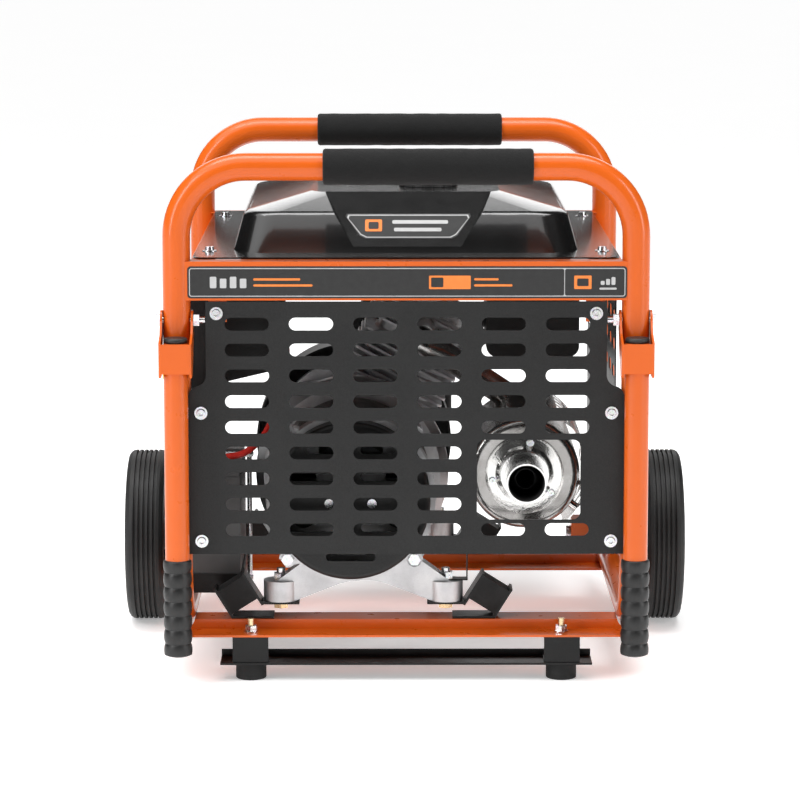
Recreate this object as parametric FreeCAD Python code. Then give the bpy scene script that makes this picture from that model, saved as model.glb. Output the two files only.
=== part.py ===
import FreeCAD, Part
import math
import os

V = FreeCAD.Vector
os.makedirs("parts", exist_ok=True)

# Portable generator, millimetres, +Z up. The exhaust end faces -Y, the recoil end +Y, the sockets -X.
# The origin is on the floor, at the middle of the overall box.

# ---- driving dimensions: tube frame ----
tube_d = 32.0
tube_wall = 1.8
frame_width = 530.0         # between leg centres
frame_depth = 600.0         # between hoop planes
hoop_height = 604.0         # centre of the top tube above the floor
top_bend_r = 80.0
rail_height = 69.5          # centre of the base rail above the floor
rail_bend_r = 80.0
sleeve_wall = 5.0
sleeve_length = 242.0
front_sleeve_x = 25.0       # the sleeves sit off centre
rear_sleeve_x = 8.0

# ---- driving dimensions: sheet metal ----
sheet_t = 1.5
panel_t = 2.0
panel_gap = 0.73            # between the panel's edge and the leg
panel_bottom = 154.0
panel_front = 12.5          # how far the panel's face stands before the hoop's plane
band_height = 45.0
band_bottom = 451.0
slot_height = 15.0
slot_bar_x = 23.1           # metal between two slots of a row
slot_bar_z = 15.1           # metal between two rows
slot_margin = 18.4          # what the six columns leave free below the neck
slot_columns = 6
slot_rows = 9
slot_top = 423.5
slot_mid_x = 1.2
cutout_width = 120.0
cutout_height = 94.0
cutout_r = 9.0
guard_gap = 6.0             # between the side guard and the legs
guard_slot = 42.0
guard_columns = 9
guard_rows = 7

# ---- driving dimensions: folding handles ----
handle_d = 28.0
handle_wall = 1.6
handle_gap = 3.0            # between the folded handle and the leg
pivot_height = 427.0
grip_top = 154.0
grip_bottom = 36.5
grip_peak_d = 33.0
grip_valley_d = 30.0
grip_ribs = 7
ear_t = 2.5
ear_r = 11.5
bracket_length = 39.5
pivot_d = 8.0

# ---- driving dimensions: feet, wheels and axle ----
foot_x = 182.5
foot_y = 20.0               # behind the front hoop's plane
foot_d = 36.0
foot_height = 19.5
cross_over = 35.5           # the foot bar's reach past each foot's centre
bracket_width = 42.0
wheel_d = 214.4
wheel_width = 48.0
wheel_stand_out = 83.5      # the tyre's outer face, outside the leg's centre
wheel_y = 365.0             # behind the front hoop's plane
axle_d = 16.0
rim_d = 132.0

# ---- driving dimensions: machine ----
crank_x = -65.0
crank_z = 211.0
end_ring_d = 200.0
stator_d = 188.0
stator_bore = 122.0
air_gap = 0.5
rotor_length = 120.0
shaft_d = 30.0
boss_shift = 14.5           # from the crank to midway between the two foot bosses
boss_half = 97.5
boss_d = 41.0
boss_height = 24.0
mount_angle = 58.0          # slope of the bonded rubber blocks
mount_rubber = 35.0
cylinder_lean = 28.0        # degrees from upright, towards +X
muffler_x = 138.5
muffler_z = 241.5
muffler_d = 130.0
muffler_length = 225.0
outlet_r = 23.0
outlet_neck_r = 22.0        # the tube is thinner from just before the collar
outlet_reach = 40.0         # how far the outlet stands before the front hoop's plane
tank_side_gap = 62.0        # from the leg's centre to the tank's side
tank_top = 561.0

# ---- clearances ----
run_gap = 0.05              # radial, round a turning or sliding pin
side_gap = 0.4              # between faces that move past each other
fit_gap = 0.2               # radial, round a bolt that only clamps

# ---- worked out ----
tube_r = tube_d / 2
leg_x = frame_width / 2
sleeve_d = tube_d + 2 * sleeve_wall
handle_r = handle_d / 2
handle_offset = tube_r + handle_gap + handle_r
front_reach = handle_offset + handle_r + ear_t
front_y = (front_reach - sleeve_d / 2 - frame_depth) / 2
rear_y = front_y + frame_depth
rail_top = rail_height + tube_r
band_top = band_bottom + band_height
wheel_r = wheel_d / 2
wheel_outer_x = leg_x + wheel_stand_out
cross_half = foot_x + cross_over
boss_mid_x = crank_x + boss_shift
tank_half_x = leg_x - tank_side_gap
guard_x = leg_x - tube_r - guard_gap
panel_half_width = leg_x - math.sqrt(tube_r ** 2 - (panel_front - panel_t) ** 2) - panel_gap
neck_half_width = leg_x - 33.5
slot_pitch_x = (2 * neck_half_width - slot_margin) / slot_columns
slot_pitch_z = slot_height + slot_bar_z
slot_length = slot_pitch_x - slot_bar_x
deck_z = 66.0               # top of the cross members, where the rubber mounts stand
X, Y, Z = V(1, 0, 0), V(0, 1, 0), V(0, 0, 1)
sides = (("left", -1), ("right", 1))
nodes = {}


def save(name, *shapes):
    solids = [s for shape in shapes for s in shape.Solids]
    nodes[name] = solids
    body = solids[0] if len(solids) == 1 else Part.makeCompound(solids)
    body.exportStep(f"parts/{name}.step")
    print(f"{name}: {len(solids)} solid(s), {sum(s.Volume for s in solids) / 1000:.1f} cm3")


def span(x0, x1, y0, y1, z0, z1):
    low = V(min(x0, x1), min(y0, y1), min(z0, z1))
    return Part.makeBox(abs(x1 - x0), abs(y1 - y0), abs(z1 - z0), low)


def rod(r, a, b):
    return Part.makeCylinder(r, (b - a).Length, a, b - a)


def pipe(r, wall, a, b):
    return rod(r, a, b).cut(rod(r - wall, a, b))


def fused(*shapes):
    body = shapes[0]
    for shape in shapes[1:]:
        body = body.fuse(shape)
    return body.removeSplitter()


def rounded_edges(shape, r, pick):
    """The shape with a fillet on every edge that pick accepts."""
    return shape.makeFillet(r, [e for e in shape.Edges if pick(e)])


def is_round(edge):
    return edge.Curve.TypeId == "Part::GeomCircle"


def largest(shape):
    return max(shape.Solids, key=lambda solid: solid.Volume)


def hexagon(across, a, b):
    """A hexagonal prism of the given width across its flats, from a to b."""
    direction = (b - a).normalize()
    side = direction.cross(Z if abs(direction.z) < 0.9 else X).normalize()
    up = direction.cross(side)
    r = across / math.sqrt(3)
    corners = [a + side * (r * math.cos(k * math.pi / 3)) + up * (r * math.sin(k * math.pi / 3))
               for k in range(7)]
    return Part.Face(Part.makePolygon(corners)).extrude(b - a)


def washer(r, hole_r, a, b):
    return rod(r, a, b).cut(rod(hole_r, a, b))


def bolt(d, head, tip, head_side):
    """A hexagon bolt: the head's seat is at head, head_side points out of the head."""
    across = 1.6 * d
    return fused(rod(d / 2, head, tip), hexagon(across, head, head + head_side * (0.65 * d)))


def nut(d, seat, out, height=None):
    height = height or 0.8 * d
    return hexagon(1.6 * d, seat, seat + out * height).cut(rod(d / 2, seat, seat + out * height))


def flange_screw(d, seat, out, reach):
    """A flanged hexagon screw seated at seat, its shank running inwards."""
    flange = rod(d, seat, seat + out * 1.4)
    head = hexagon(1.45 * d, seat + out * 1.4, seat + out * (1.4 + 0.6 * d))
    return fused(flange, head, rod(d / 2, seat - out * reach, seat))


def outline(corners, plane):
    """A closed wire through (a, b, radius) corners; plane turns (a, b) into a point."""
    edges = []
    points = []
    count = len(corners)
    for k, (a, b, r) in enumerate(corners):
        here = plane(a, b)
        if r <= 0:
            points.append((here, here, None))
            continue
        before = (plane(*corners[k - 1][:2]) - here).normalize()
        after = (plane(*corners[(k + 1) % count][:2]) - here).normalize()
        half = before.getAngle(after) / 2
        back = r / math.tan(half)
        centre = here + (before + after).normalize() * (r / math.sin(half))
        middle = centre + (here - centre).normalize() * r
        points.append((here + before * back, here + after * back, middle))
    for k, (start, end, middle) in enumerate(points):
        if middle is not None:
            edges.append(Part.Arc(start, middle, end).toShape())
        following = points[(k + 1) % count][0]
        if (following - end).Length > 1e-6:
            edges.append(Part.LineSegment(end, following).toShape())
    return Part.Wire(edges)


def plate(wires, direction):
    """A sheet: the first wire is its edge, the others are its holes."""
    return Part.Face(wires).extrude(direction)


def swept(points, bends, r):
    """A round bar along straight runs joined by tangent arcs."""
    edges = []
    start = points[0]
    for k in range(1, len(points) - 1):
        here = points[k]
        before = (points[k - 1] - here).normalize()
        after = (points[k + 1] - here).normalize()
        half = before.getAngle(after) / 2
        back = bends[k - 1] / math.tan(half)
        centre = here + (before + after).normalize() * (bends[k - 1] / math.sin(half))
        middle = centre + (here - centre).normalize() * bends[k - 1]
        a, b = here + before * back, here + after * back
        if (a - start).Length > 1e-6:
            edges.append(Part.LineSegment(start, a).toShape())
        edges.append(Part.Arc(a, middle, b).toShape())
        start = b
    edges.append(Part.LineSegment(start, points[-1]).toShape())
    path = Part.Wire(edges)
    circle = Part.Wire(Part.Circle(points[0], points[1] - points[0], r).toShape())
    return Part.Solid(path.makePipeShell([circle], True, True).Shells[0])


def swept_tube(points, bends, r, wall):
    return swept(points, bends, r).cut(swept(points, bends, r - wall))


def xz(y):
    return lambda a, b: V(a, y, b)


def yz(x):
    return lambda a, b: V(x, a, b)


def xy(z):
    return lambda a, b: V(a, b, z)


def stadium(x, z, length, height, y):
    r = height / 2
    h = length / 2
    return outline([(x - h, z - r, r * 0.999), (x + h, z - r, r * 0.999), (x + h, z + r, r * 0.999),
                    (x - h, z + r, r * 0.999)], xz(y))


def circle_wire(centre, axis, r):
    return Part.Wire(Part.Circle(centre, axis, r).toShape())


def ring_profile(pairs, axis_point, axis):
    """A solid of revolution from (distance along axis, radius) pairs, closed on themselves."""
    side = axis.cross(Z if abs(axis.z) < 0.9 else X).normalize()
    corners = [axis_point + axis * along + side * r for along, r in pairs]
    face = Part.Face(Part.makePolygon(corners + corners[:1]))
    return face.revolve(axis_point, axis, 360)


# ---------------------------------------------------------------- tube frame
stub = 1.0                  # straight end of each hoop, past its bend


def hoop_points(y, inward):
    low = y + inward * (rail_bend_r + stub)
    return [V(-leg_x, low, rail_height), V(-leg_x, y, rail_height),
            V(-leg_x, y, hoop_height), V(leg_x, y, hoop_height), V(leg_x, y, rail_height),
            V(leg_x, low, rail_height)]


def hoop(y, inward, grow=0.0):
    bends = [rail_bend_r, top_bend_r, top_bend_r, rail_bend_r]
    return swept(hoop_points(y, inward), bends, tube_r + grow)


front_bar = hoop(front_y, 1)
rear_bar = hoop(rear_y, -1)
front_tube = front_bar.cut(hoop(front_y, 1, -tube_wall))
rear_tube = rear_bar.cut(hoop(rear_y, -1, -tube_wall))

panel_face = front_y - panel_front
panel_back = panel_face + panel_t
tab_t = 3.0
side_tab_x = leg_x - 27.5
side_tab_z = (320.0, 169.5)
top_tab_x = leg_x - 46.0
top_tab_z = 436.0
screw_d = 6.0
tabs = []
for _, side in sides:
    for z in side_tab_z:
        tab = span(side * (side_tab_x - 10), side * (leg_x - 11),
                   panel_back, panel_back + tab_t, z - 11, z + 11)
        hole = rod(screw_d / 2 + fit_gap, V(side * side_tab_x, panel_face, z),
                   V(side * side_tab_x, panel_back + 9, z))
        tabs.append(tab.cut(front_bar).cut(hole))
for _, side in sides:
    hole = rod(pivot_d / 2 + fit_gap, V(side * (leg_x - 30), front_y, pivot_height),
               V(side * (leg_x + 30), front_y, pivot_height))
    front_tube = front_tube.cut(hole)
front_hoop = fused(front_tube, *tabs)
save("front_hoop", front_hoop)
save("rear_hoop", rear_tube)

rail_start = front_y + rail_bend_r + stub
rail_end = rear_y - rail_bend_r - stub
save("base_rails", *[pipe(tube_r, tube_wall, V(s * leg_x, rail_start, rail_height),
                          V(s * leg_x, rail_end, rail_height)) for _, s in sides])

sleeves = []
for sleeve_x, y in ((front_sleeve_x, front_y), (rear_sleeve_x, rear_y)):
    a = V(sleeve_x - sleeve_length / 2, y, hoop_height)
    b = V(sleeve_x + sleeve_length / 2, y, hoop_height)
    sleeve = rounded_edges(rod(sleeve_d / 2, a, b), 3.0, is_round)
    sleeves.append(sleeve.cut(rod(tube_r, a, b)))
save("foam_sleeves", *sleeves)

# ---------------------------------------------------------------- cross members
flange_depth = 41.0
section_t = 2.5
section_foot = 52.5


def cross_member(y):
    """A Z section: its lower flange faces -Y, its upper flange +Y, its ends cope to the rails."""
    web = y + flange_depth
    body = fused(span(-leg_x, leg_x, y, web, section_foot, section_foot + section_t),
                 span(-leg_x, leg_x, web - section_t, web, section_foot, deck_z),
                 span(-leg_x, leg_x, web - section_t, web + flange_depth - section_t,
                      deck_z - section_t, deck_z))
    rails = [rod(tube_r, V(s * leg_x, y - 60, rail_height), V(s * leg_x, y + 140, rail_height))
             for _, s in sides]
    for bar in (front_bar, *rails):
        body = body.cut(bar)
    return largest(body)


front_member_y = front_y - 1.0
middle_member_y = front_y + 400.0
foot_bolt_d = 8.0
front_member = cross_member(front_member_y)
foot_axis_y = front_y + foot_y
for _, side in sides:
    front_member = front_member.cut(rod(foot_bolt_d / 2 + fit_gap, V(side * foot_x, foot_axis_y, 40),
                                        V(side * foot_x, foot_axis_y, 60)))
middle_member = cross_member(middle_member_y)
save("cross_members", front_member, middle_member)

# ---------------------------------------------------------------- bands and upper rails
top_return = 24.0


def band(face_y, inward, hoop_bar):
    """A folded cross sheet between the legs, flush with the grille below it."""
    z0, z1 = band_bottom, band_top
    reach = leg_x - 9.0
    y1 = face_y + inward * top_return
    body = fused(span(-reach, reach, face_y, face_y + inward * sheet_t, z0, z1),
                 span(-reach, reach, face_y, y1, z1 - sheet_t, z1),
                 span(-reach, reach, face_y, y1, z0, z0 + sheet_t))
    body = body.cut(hoop_bar)
    return largest(body)


front_band = band(panel_face, 1, front_bar)
top_tabs = []
for _, side in sides:
    tab = span(side * (top_tab_x - 12), side * (top_tab_x + 9), panel_back, panel_back + tab_t,
               top_tab_z - 10, band_bottom + sheet_t)
    hole = rod(screw_d / 2 + fit_gap, V(side * top_tab_x, panel_face, top_tab_z),
               V(side * top_tab_x, panel_back + 9, top_tab_z))
    top_tabs.append(tab.cut(hole))
save("front_band", fused(front_band, *top_tabs))
save("rear_band", band(rear_y + panel_front, -1, rear_bar))

rail_y0 = panel_face + top_return
rail_y1 = rear_y + panel_front - top_return
rail_ledge = 22.0
upper_rails = []
for _, side in sides:
    x_out = leg_x - tube_r
    upper = fused(span(side * (x_out - sheet_t), side * x_out, rail_y0, rail_y1, band_bottom, band_top),
                  span(side * (x_out - rail_ledge), side * x_out, rail_y0, rail_y1,
                       band_top - sheet_t, band_top))
    upper_rails.append(upper)
save("upper_rails", *upper_rails)

# ---------------------------------------------------------------- grille panel
panel_top = band_bottom - 1.4
shoulder_high = 364.0
shoulder_low = 338.0


def grille_edge(y):
    rise = shoulder_high - shoulder_low
    run = panel_half_width - neck_half_width
    turn = 2 * math.atan2(run, rise)
    r = rise / (2 * math.sin(turn))
    mid_x = (panel_half_width + neck_half_width) / 2
    mid_z = (shoulder_high + shoulder_low) / 2
    q = turn / 2

    def arcs(side):
        upper = V(side * (neck_half_width + r * (1 - math.cos(q))), y, shoulder_high - r * math.sin(q))
        lower = V(side * (panel_half_width - r * (1 - math.cos(q))), y, shoulder_low + r * math.sin(q))
        centre = V(side * mid_x, y, mid_z)
        return [Part.Arc(V(side * neck_half_width, y, shoulder_high), upper, centre).toShape(),
                Part.Arc(centre, lower, V(side * panel_half_width, y, shoulder_low)).toShape()]

    def line(a, b):
        return Part.LineSegment(V(a[0], y, a[1]), V(b[0], y, b[1])).toShape()

    w, n = panel_half_width, neck_half_width
    edges = [line((-n, panel_top), (n, panel_top)), line((n, panel_top), (n, shoulder_high)), *arcs(1),
             line((w, shoulder_low), (w, panel_bottom)), line((w, panel_bottom), (-w, panel_bottom)),
             line((-w, panel_bottom), (-w, shoulder_low)), *arcs(-1),
             line((-n, shoulder_high), (-n, panel_top))]
    return Part.Wire(Part.__sortEdges__(edges))


cutout_x = slot_mid_x + slot_pitch_x * 1.9
holes = []
for column in range(slot_columns):
    for row in range(slot_rows):
        if column >= 4 and 5 <= row <= 7:
            continue
        x = slot_mid_x + (column - (slot_columns - 1) / 2) * slot_pitch_x
        holes.append(stadium(x, slot_top - row * slot_pitch_z, slot_length, slot_height, panel_face))
hw, hh = cutout_width / 2, cutout_height / 2
cutout_z = slot_top - 6.05 * slot_pitch_z
holes.append(outline([(cutout_x - hw, cutout_z - hh, cutout_r), (cutout_x + hw, cutout_z - hh, cutout_r),
                      (cutout_x + hw, cutout_z + hh, cutout_r), (cutout_x - hw, cutout_z + hh, cutout_r)],
                     xz(panel_face)))
screw_places = [(s * top_tab_x, top_tab_z) for _, s in sides]
screw_places += [(s * side_tab_x, z) for _, s in sides for z in side_tab_z]
for x, z in screw_places:
    holes.append(circle_wire(V(x, panel_face, z), Y, screw_d / 2 + fit_gap))
grille = plate([grille_edge(panel_face), *holes], Y * panel_t)
save("grille_panel", grille)

# ---------------------------------------------------------------- side guard on the muffler side
guard_z0, guard_z1 = 205.0, band_bottom - 1.0
guard_y0 = front_y + tube_r + 6.0
guard_y1 = rear_y - tube_r - 6.0
guard_holes = []
guard_pitch_y = (guard_y1 - guard_y0) / guard_columns
guard_pitch_z = (guard_z1 - guard_z0) / (guard_rows + 0.5)
for column in range(guard_columns):
    for row in range(guard_rows):
        y = guard_y0 + (column + 0.5) * guard_pitch_y
        z = guard_z0 + (row + 0.75) * guard_pitch_z
        r = slot_height / 2 * 0.999
        h = guard_slot / 2
        round_r = r * 0.99
        guard_holes.append(outline([(y - h, z - r, round_r), (y + h, z - r, round_r), (y + h, z + r, round_r),
                                    (y - h, z + r, round_r)], yz(guard_x)))
guard_edge = outline([(guard_y0, guard_z0, 12), (guard_y1, guard_z0, 12), (guard_y1, guard_z1, 4),
                      (guard_y0, guard_z1, 4)], yz(guard_x))
guard_strap_z = 320.0
guard = plate([guard_edge, *guard_holes], X * sheet_t)
straps = []
for y, inward in ((front_y, 1), (rear_y, -1)):
    strap = span(guard_x, guard_x + sheet_t, y + inward * (tube_r - 12), y + inward * (tube_r + 8),
                 guard_strap_z - 14, guard_strap_z + 14)
    lug = span(guard_x, leg_x - 9, y + inward * (tube_r - 12), y + inward * (tube_r - 9),
               guard_strap_z - 14, guard_strap_z + 14)
    straps.append(fused(strap, lug).cut(front_bar).cut(rear_bar))
guard = fused(guard, *[largest(s) for s in straps])
save("side_guard", guard)

screws = [flange_screw(screw_d, V(x, panel_face, z), -Y, 12.0) for x, z in screw_places]
save("panel_screws", *screws)

# ---------------------------------------------------------------- feet
foot_list, bracket_list, foot_bolts = [], [], []
bar_t = 2.5
bar_top = foot_height + bar_t
for _, side in sides:
    centre = V(side * foot_x, foot_axis_y, 0)
    foot = rod(foot_d / 2, centre, centre + Z * foot_height)
    foot = rounded_edges(foot, 2.0, lambda e: is_round(e) and e.CenterOfMass.z < 1)
    foot = foot.cut(rod(9.0, centre, centre + Z * 9))
    foot = foot.cut(rod(foot_bolt_d / 2 + fit_gap, centre, centre + Z * 30))
    foot_list.append(foot)
    x0, x1 = side * foot_x - bracket_width / 2, side * foot_x + bracket_width / 2
    y0, y1 = foot_axis_y - 20, foot_axis_y + 18
    shell = fused(span(x0, x1, y0, y1, bar_top, bar_top + bar_t),
                  span(x0, x1, y0, y0 + bar_t, bar_top, section_foot),
                  span(x0, x1, y0, y1, section_foot - bar_t, section_foot))
    bracket_list.append(shell.cut(rod(foot_bolt_d / 2 + fit_gap, centre, centre + Z * 60)))
    low = centre + Z * 9
    tip = centre + Z * (section_foot + 18.5)
    shank = fused(rod(foot_bolt_d / 2, low, tip), hexagon(13, low - Z * 5, low))
    seat = centre + Z * (section_foot + section_t)
    collar = washer(8.5, foot_bolt_d / 2, seat, seat + Z * 1.6)
    flange_nut = fused(collar, nut(foot_bolt_d, seat + Z * 1.6, Z, 6.0))
    foot_bolts += [shank, flange_nut]
bar_y0, bar_y1 = foot_axis_y - 22, foot_axis_y + 22
cross_bar = fused(span(-cross_half, cross_half, bar_y0, bar_y1, foot_height, bar_top),
                  span(-cross_half, cross_half, bar_y1 - bar_t, bar_y1, foot_height, foot_height + 10))
for _, side in sides:
    cross_bar = cross_bar.cut(rod(foot_bolt_d / 2 + fit_gap, V(side * foot_x, foot_axis_y, 10),
                                  V(side * foot_x, foot_axis_y, 30)))
save("rubber_feet", *foot_list)
save("foot_bar", cross_bar, *bracket_list)
save("foot_bolts", *foot_bolts)

# ---------------------------------------------------------------- wheels
axle_y = front_y + wheel_y
axle_z = wheel_r
box_half = 16.0
box_in, box_out = leg_x - tube_r - 38.0, leg_x + tube_r + 2.0
box_top = axle_z + (axle_z - rail_top)
hub_width = 44.0
hub_in = wheel_outer_x - 3.5 - hub_width
axle_end = wheel_outer_x - 1.0
brackets, axles = [], []
for _, side in sides:
    outer = span(side * box_in, side * box_out, axle_y - box_half, axle_y + box_half, rail_top, box_top)
    inner = span(side * (box_in + 4), side * (box_out - 4), axle_y - box_half + 2.5, axle_y + box_half - 2.5,
                 rail_top + 2.5, box_top - 2.5)
    window = span(side * (box_in + 8), side * (box_out - 8), axle_y + box_half - 4, axle_y + box_half + 4,
                  rail_top + 8, box_top - 8)
    bore = rod(axle_d / 2 + fit_gap, V(side * (box_in - 5), axle_y, axle_z),
               V(side * (box_out + 5), axle_y, axle_z))
    brackets.append(outer.cut(inner).cut(window).cut(bore))
    a = V(side * (box_in - 6), axle_y, axle_z)
    b = V(side * axle_end, axle_y, axle_z)
    stop = rod(axle_d / 2 + 3, a, V(side * (box_in - 0.2), axle_y, axle_z))
    spacer = rod(axle_d / 2 + 4, V(side * (box_out + 0.2), axle_y, axle_z),
                 V(side * (hub_in - side_gap), axle_y, axle_z))
    collar = washer(axle_d / 2 + 6, axle_d / 2 - 1, V(side * (hub_in + hub_width + side_gap), axle_y, axle_z),
                    V(side * axle_end, axle_y, axle_z))
    axles.append(fused(rod(axle_d / 2, a, b), stop, spacer, collar))
save("axle_brackets", *brackets)
save("wheel_axles", *axles)

groove_w, groove_d = 3.0, 3.5
tread_grooves = 5
shoulder_r = 9.0
for name, side in sides:
    x0 = wheel_outer_x - wheel_width
    axis_point = V(side * x0, axle_y, axle_z)
    axis = X * side
    r0 = rim_d / 2
    profile = [(4, r0), (2.0, r0 + 10), (0, r0 + 22)]
    shoulder = [(shoulder_r * (1 - math.cos(k * math.pi / 8)),
                 wheel_r - shoulder_r + shoulder_r * math.sin(k * math.pi / 8)) for k in range(5)]
    profile += shoulder
    flat = wheel_width - 2 * shoulder_r
    pitch = flat / tread_grooves
    for k in range(tread_grooves):
        mid = shoulder_r + (k + 0.5) * pitch
        profile += [(mid - groove_w / 2, wheel_r), (mid - groove_w / 3, wheel_r - groove_d),
                    (mid + groove_w / 3, wheel_r - groove_d), (mid + groove_w / 2, wheel_r)]
    profile += [(wheel_width - along, r) for along, r in reversed(shoulder)]
    profile += [(wheel_width, r0 + 22), (wheel_width - 2.0, r0 + 10), (wheel_width - 4, r0)]
    tyre = ring_profile(profile, axis_point, axis)
    save(f"tyre_{name}", tyre)
    h0, h1 = hub_in - x0, hub_in - x0 + hub_width
    bore_r = axle_d / 2 + run_gap
    hub_profile = [(h0, bore_r), (h0, 19), (18, 22), (18, r0 - 8), (4, r0 - 4), (4, r0),
                   (wheel_width - 4, r0), (wheel_width - 4, r0 - 4), (26, r0 - 8), (26, 22), (h1, 19),
                   (h1, bore_r)]
    hub = ring_profile(hub_profile, axis_point, axis)
    for k in range(6):
        angle = k * math.pi / 3
        hole = V(side * x0, axle_y + 40 * math.cos(angle), axle_z + 40 * math.sin(angle))
        hub = hub.cut(rod(10.5, hole, hole + axis * wheel_width))
    save(f"hub_{name}", hub)

# ---------------------------------------------------------------- folding handles
ear_in = tube_r + 0.5
ear_out = ear_in + ear_t
plug_top = pivot_height - tube_r - side_gap
tube_top = plug_top - 6.0
tube_low = grip_bottom + 4.0
handle_y = front_y - handle_offset
bracket_low = tube_top - bracket_length
notch_a = pivot_height - band_bottom + side_gap + 1.0    # the raised cheek passes below the band
notch_b = panel_front + side_gap + 1.0
pivot_bolts = []
for name, side in sides:
    x = side * leg_x
    tube = pipe(handle_r, handle_wall, V(x, handle_y, tube_low), V(x, handle_y, tube_top))
    face = handle_y - handle_r - ear_t
    cheek = [(ear_r, pivot_height), (0, pivot_height + ear_r), (-ear_r, pivot_height)]
    rim = [Part.Arc(*[V(0, front_y + a, b) for a, b in cheek]).toShape()]
    walk = [(-ear_r, pivot_height), (notch_a, pivot_height - notch_b), (face - front_y, tube_top),
            (face - front_y, bracket_low + 5),
            (face - front_y + 5, bracket_low), (-handle_offset + 8, bracket_low), (ear_r, pivot_height - 12),
            (ear_r, pivot_height)]
    rim += [Part.LineSegment(V(0, front_y + a[0], a[1]), V(0, front_y + b[0], b[1])).toShape()
            for a, b in zip(walk, walk[1:])]
    sheet = Part.Face(Part.Wire(Part.__sortEdges__(rim))).extrude(X * ear_t)
    sheet = sheet.cut(rod(pivot_d / 2 + run_gap, V(-5, front_y, pivot_height),
                          V(ear_t + 5, front_y, pivot_height)))
    cheeks = [sheet.translated(V(x + ear_in, 0, 0)), sheet.translated(V(x - ear_out, 0, 0))]
    front = span(x - ear_out, x + ear_out, face, face + ear_t, bracket_low + 5, tube_top)
    bracket = fused(*cheeks, front)
    for edge_x in (x - ear_out, x + ear_out):
        bracket = rounded_edges(bracket, 2.4, lambda e: abs(e.CenterOfMass.x - edge_x) < 0.01
                                and abs(e.CenterOfMass.y - face) < 0.01 and e.Length > 20)
    save(f"handle_{name}", tube, bracket)

    pitch = (grip_top - grip_bottom - 8.0) / grip_ribs
    rib_profile = [(0, 0), (0, grip_valley_d / 2 - 3.0), (2.5, grip_valley_d / 2)]
    for k in range(grip_ribs):
        for step in range(8):
            along = 4.0 + (k + step / 8) * pitch
            swell = (1 - math.cos(2 * math.pi * step / 8)) / 2
            rib_profile.append((along, grip_valley_d / 2 + swell * (grip_peak_d - grip_valley_d) / 2))
    length = grip_top - grip_bottom
    rib_profile += [(length - 4.0, grip_valley_d / 2), (length, grip_valley_d / 2), (length, handle_r),
                    (4.0, handle_r), (4.0, 0)]
    grip = ring_profile(rib_profile, V(x, handle_y, grip_bottom), Z)
    plug = fused(rod(handle_r, V(x, handle_y, tube_top), V(x, handle_y, plug_top)),
                 rod(handle_r - handle_wall - 0.1, V(x, handle_y, tube_top - 12), V(x, handle_y, tube_top)))
    plug = rounded_edges(plug, 3.0, lambda e: is_round(e) and abs(e.CenterOfMass.z - plug_top) < 0.01)
    save(f"grip_{name}", grip, plug)

    out = X * side
    seat = V(x, front_y, pivot_height) + out * (ear_out + side_gap)
    tail = V(x, front_y, pivot_height) - out * (ear_out + side_gap)
    pivot_bolts.append(bolt(pivot_d, seat, tail - out * 13.0, out))
    pivot_bolts.append(nut(pivot_d, tail, -out, 6.5))
save("pivot_bolts", *pivot_bolts)

# ---------------------------------------------------------------- control box sizes
face_x = 3.0 - leg_x        # the box's outer face
box_x1 = face_x + 110.0
box_y0, box_y1 = front_y + 46.0, front_y + 450.0
box_z0, box_z1 = 336.0, band_bottom - 4.0
ctrl_t = 2.0

# ---------------------------------------------------------------- battery
battery_w, battery_l, battery_h = 76.0, 170.0, 150.0
tray_x1 = 70.4 - leg_x      # the tray's inner edge
tray_base = rail_top
tray_y0 = front_y + 98.0
tray_t = 2.0
battery_x1 = tray_x1 - tray_t - 1.0
battery_y0 = tray_y0 + tray_t + 1.0
battery_z0 = tray_base + tray_t
tray_x0 = battery_x1 - battery_w - 1.0 - tray_t
tray_y1 = battery_y0 + battery_l + 1.0 + tray_t
lip = 23.0
tray = span(tray_x0, tray_x1, tray_y0, tray_y1, tray_base, tray_base + lip)
tray = tray.cut(span(tray_x0 + tray_t, tray_x1 - tray_t, tray_y0 + tray_t, tray_y1 - tray_t,
                     tray_base + tray_t, tray_base + lip))
save("battery_tray", tray)
case = span(battery_x1 - battery_w, battery_x1, battery_y0, battery_y0 + battery_l, battery_z0,
            battery_z0 + battery_h - 12)
lid = span(battery_x1 - battery_w + 1, battery_x1 - 1, battery_y0 + 1, battery_y0 + battery_l - 1,
           battery_z0 + battery_h - 12, battery_z0 + battery_h)
post_r, post_height, post_inset = 7.0, 12.0, 22.0
post_x = battery_x1 - battery_w / 2 + 4
posts = [rod(post_r, V(post_x, battery_y0 + a, battery_z0 + battery_h),
             V(post_x, battery_y0 + a, battery_z0 + battery_h + post_height))
         for a in (post_inset, battery_l - post_inset)]
save("battery", fused(case, lid, *posts))
clamp_y = battery_y0 + battery_l / 2
clamp_z = battery_z0 + battery_h
strap = span(tray_x0 - 10, tray_x1 + 10, clamp_y - 9, clamp_y + 9, clamp_z, clamp_z + 3)
rods = []
for x in (tray_x0 - 5, tray_x1 + 5):
    strap = strap.cut(rod(3.2, V(x, clamp_y, clamp_z - 5), V(x, clamp_y, clamp_z + 10)))
    rods.append(rod(3.0, V(x, clamp_y, tray_base + 4), V(x, clamp_y, clamp_z + 16)))
    rods.append(span(x - 4, x + 4, clamp_y - 6, clamp_y + 6, tray_base, tray_base + 3.8))
    rods.append(nut(6.0, V(x, clamp_y, clamp_z + 3), Z))
save("battery_clamp", strap, *rods)

# ---------------------------------------------------------------- alternator
crank = V(crank_x, 0, crank_z)


def on_crank(y, dx=0.0, dz=0.0):
    return V(crank_x + dx, y, crank_z + dz)


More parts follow.
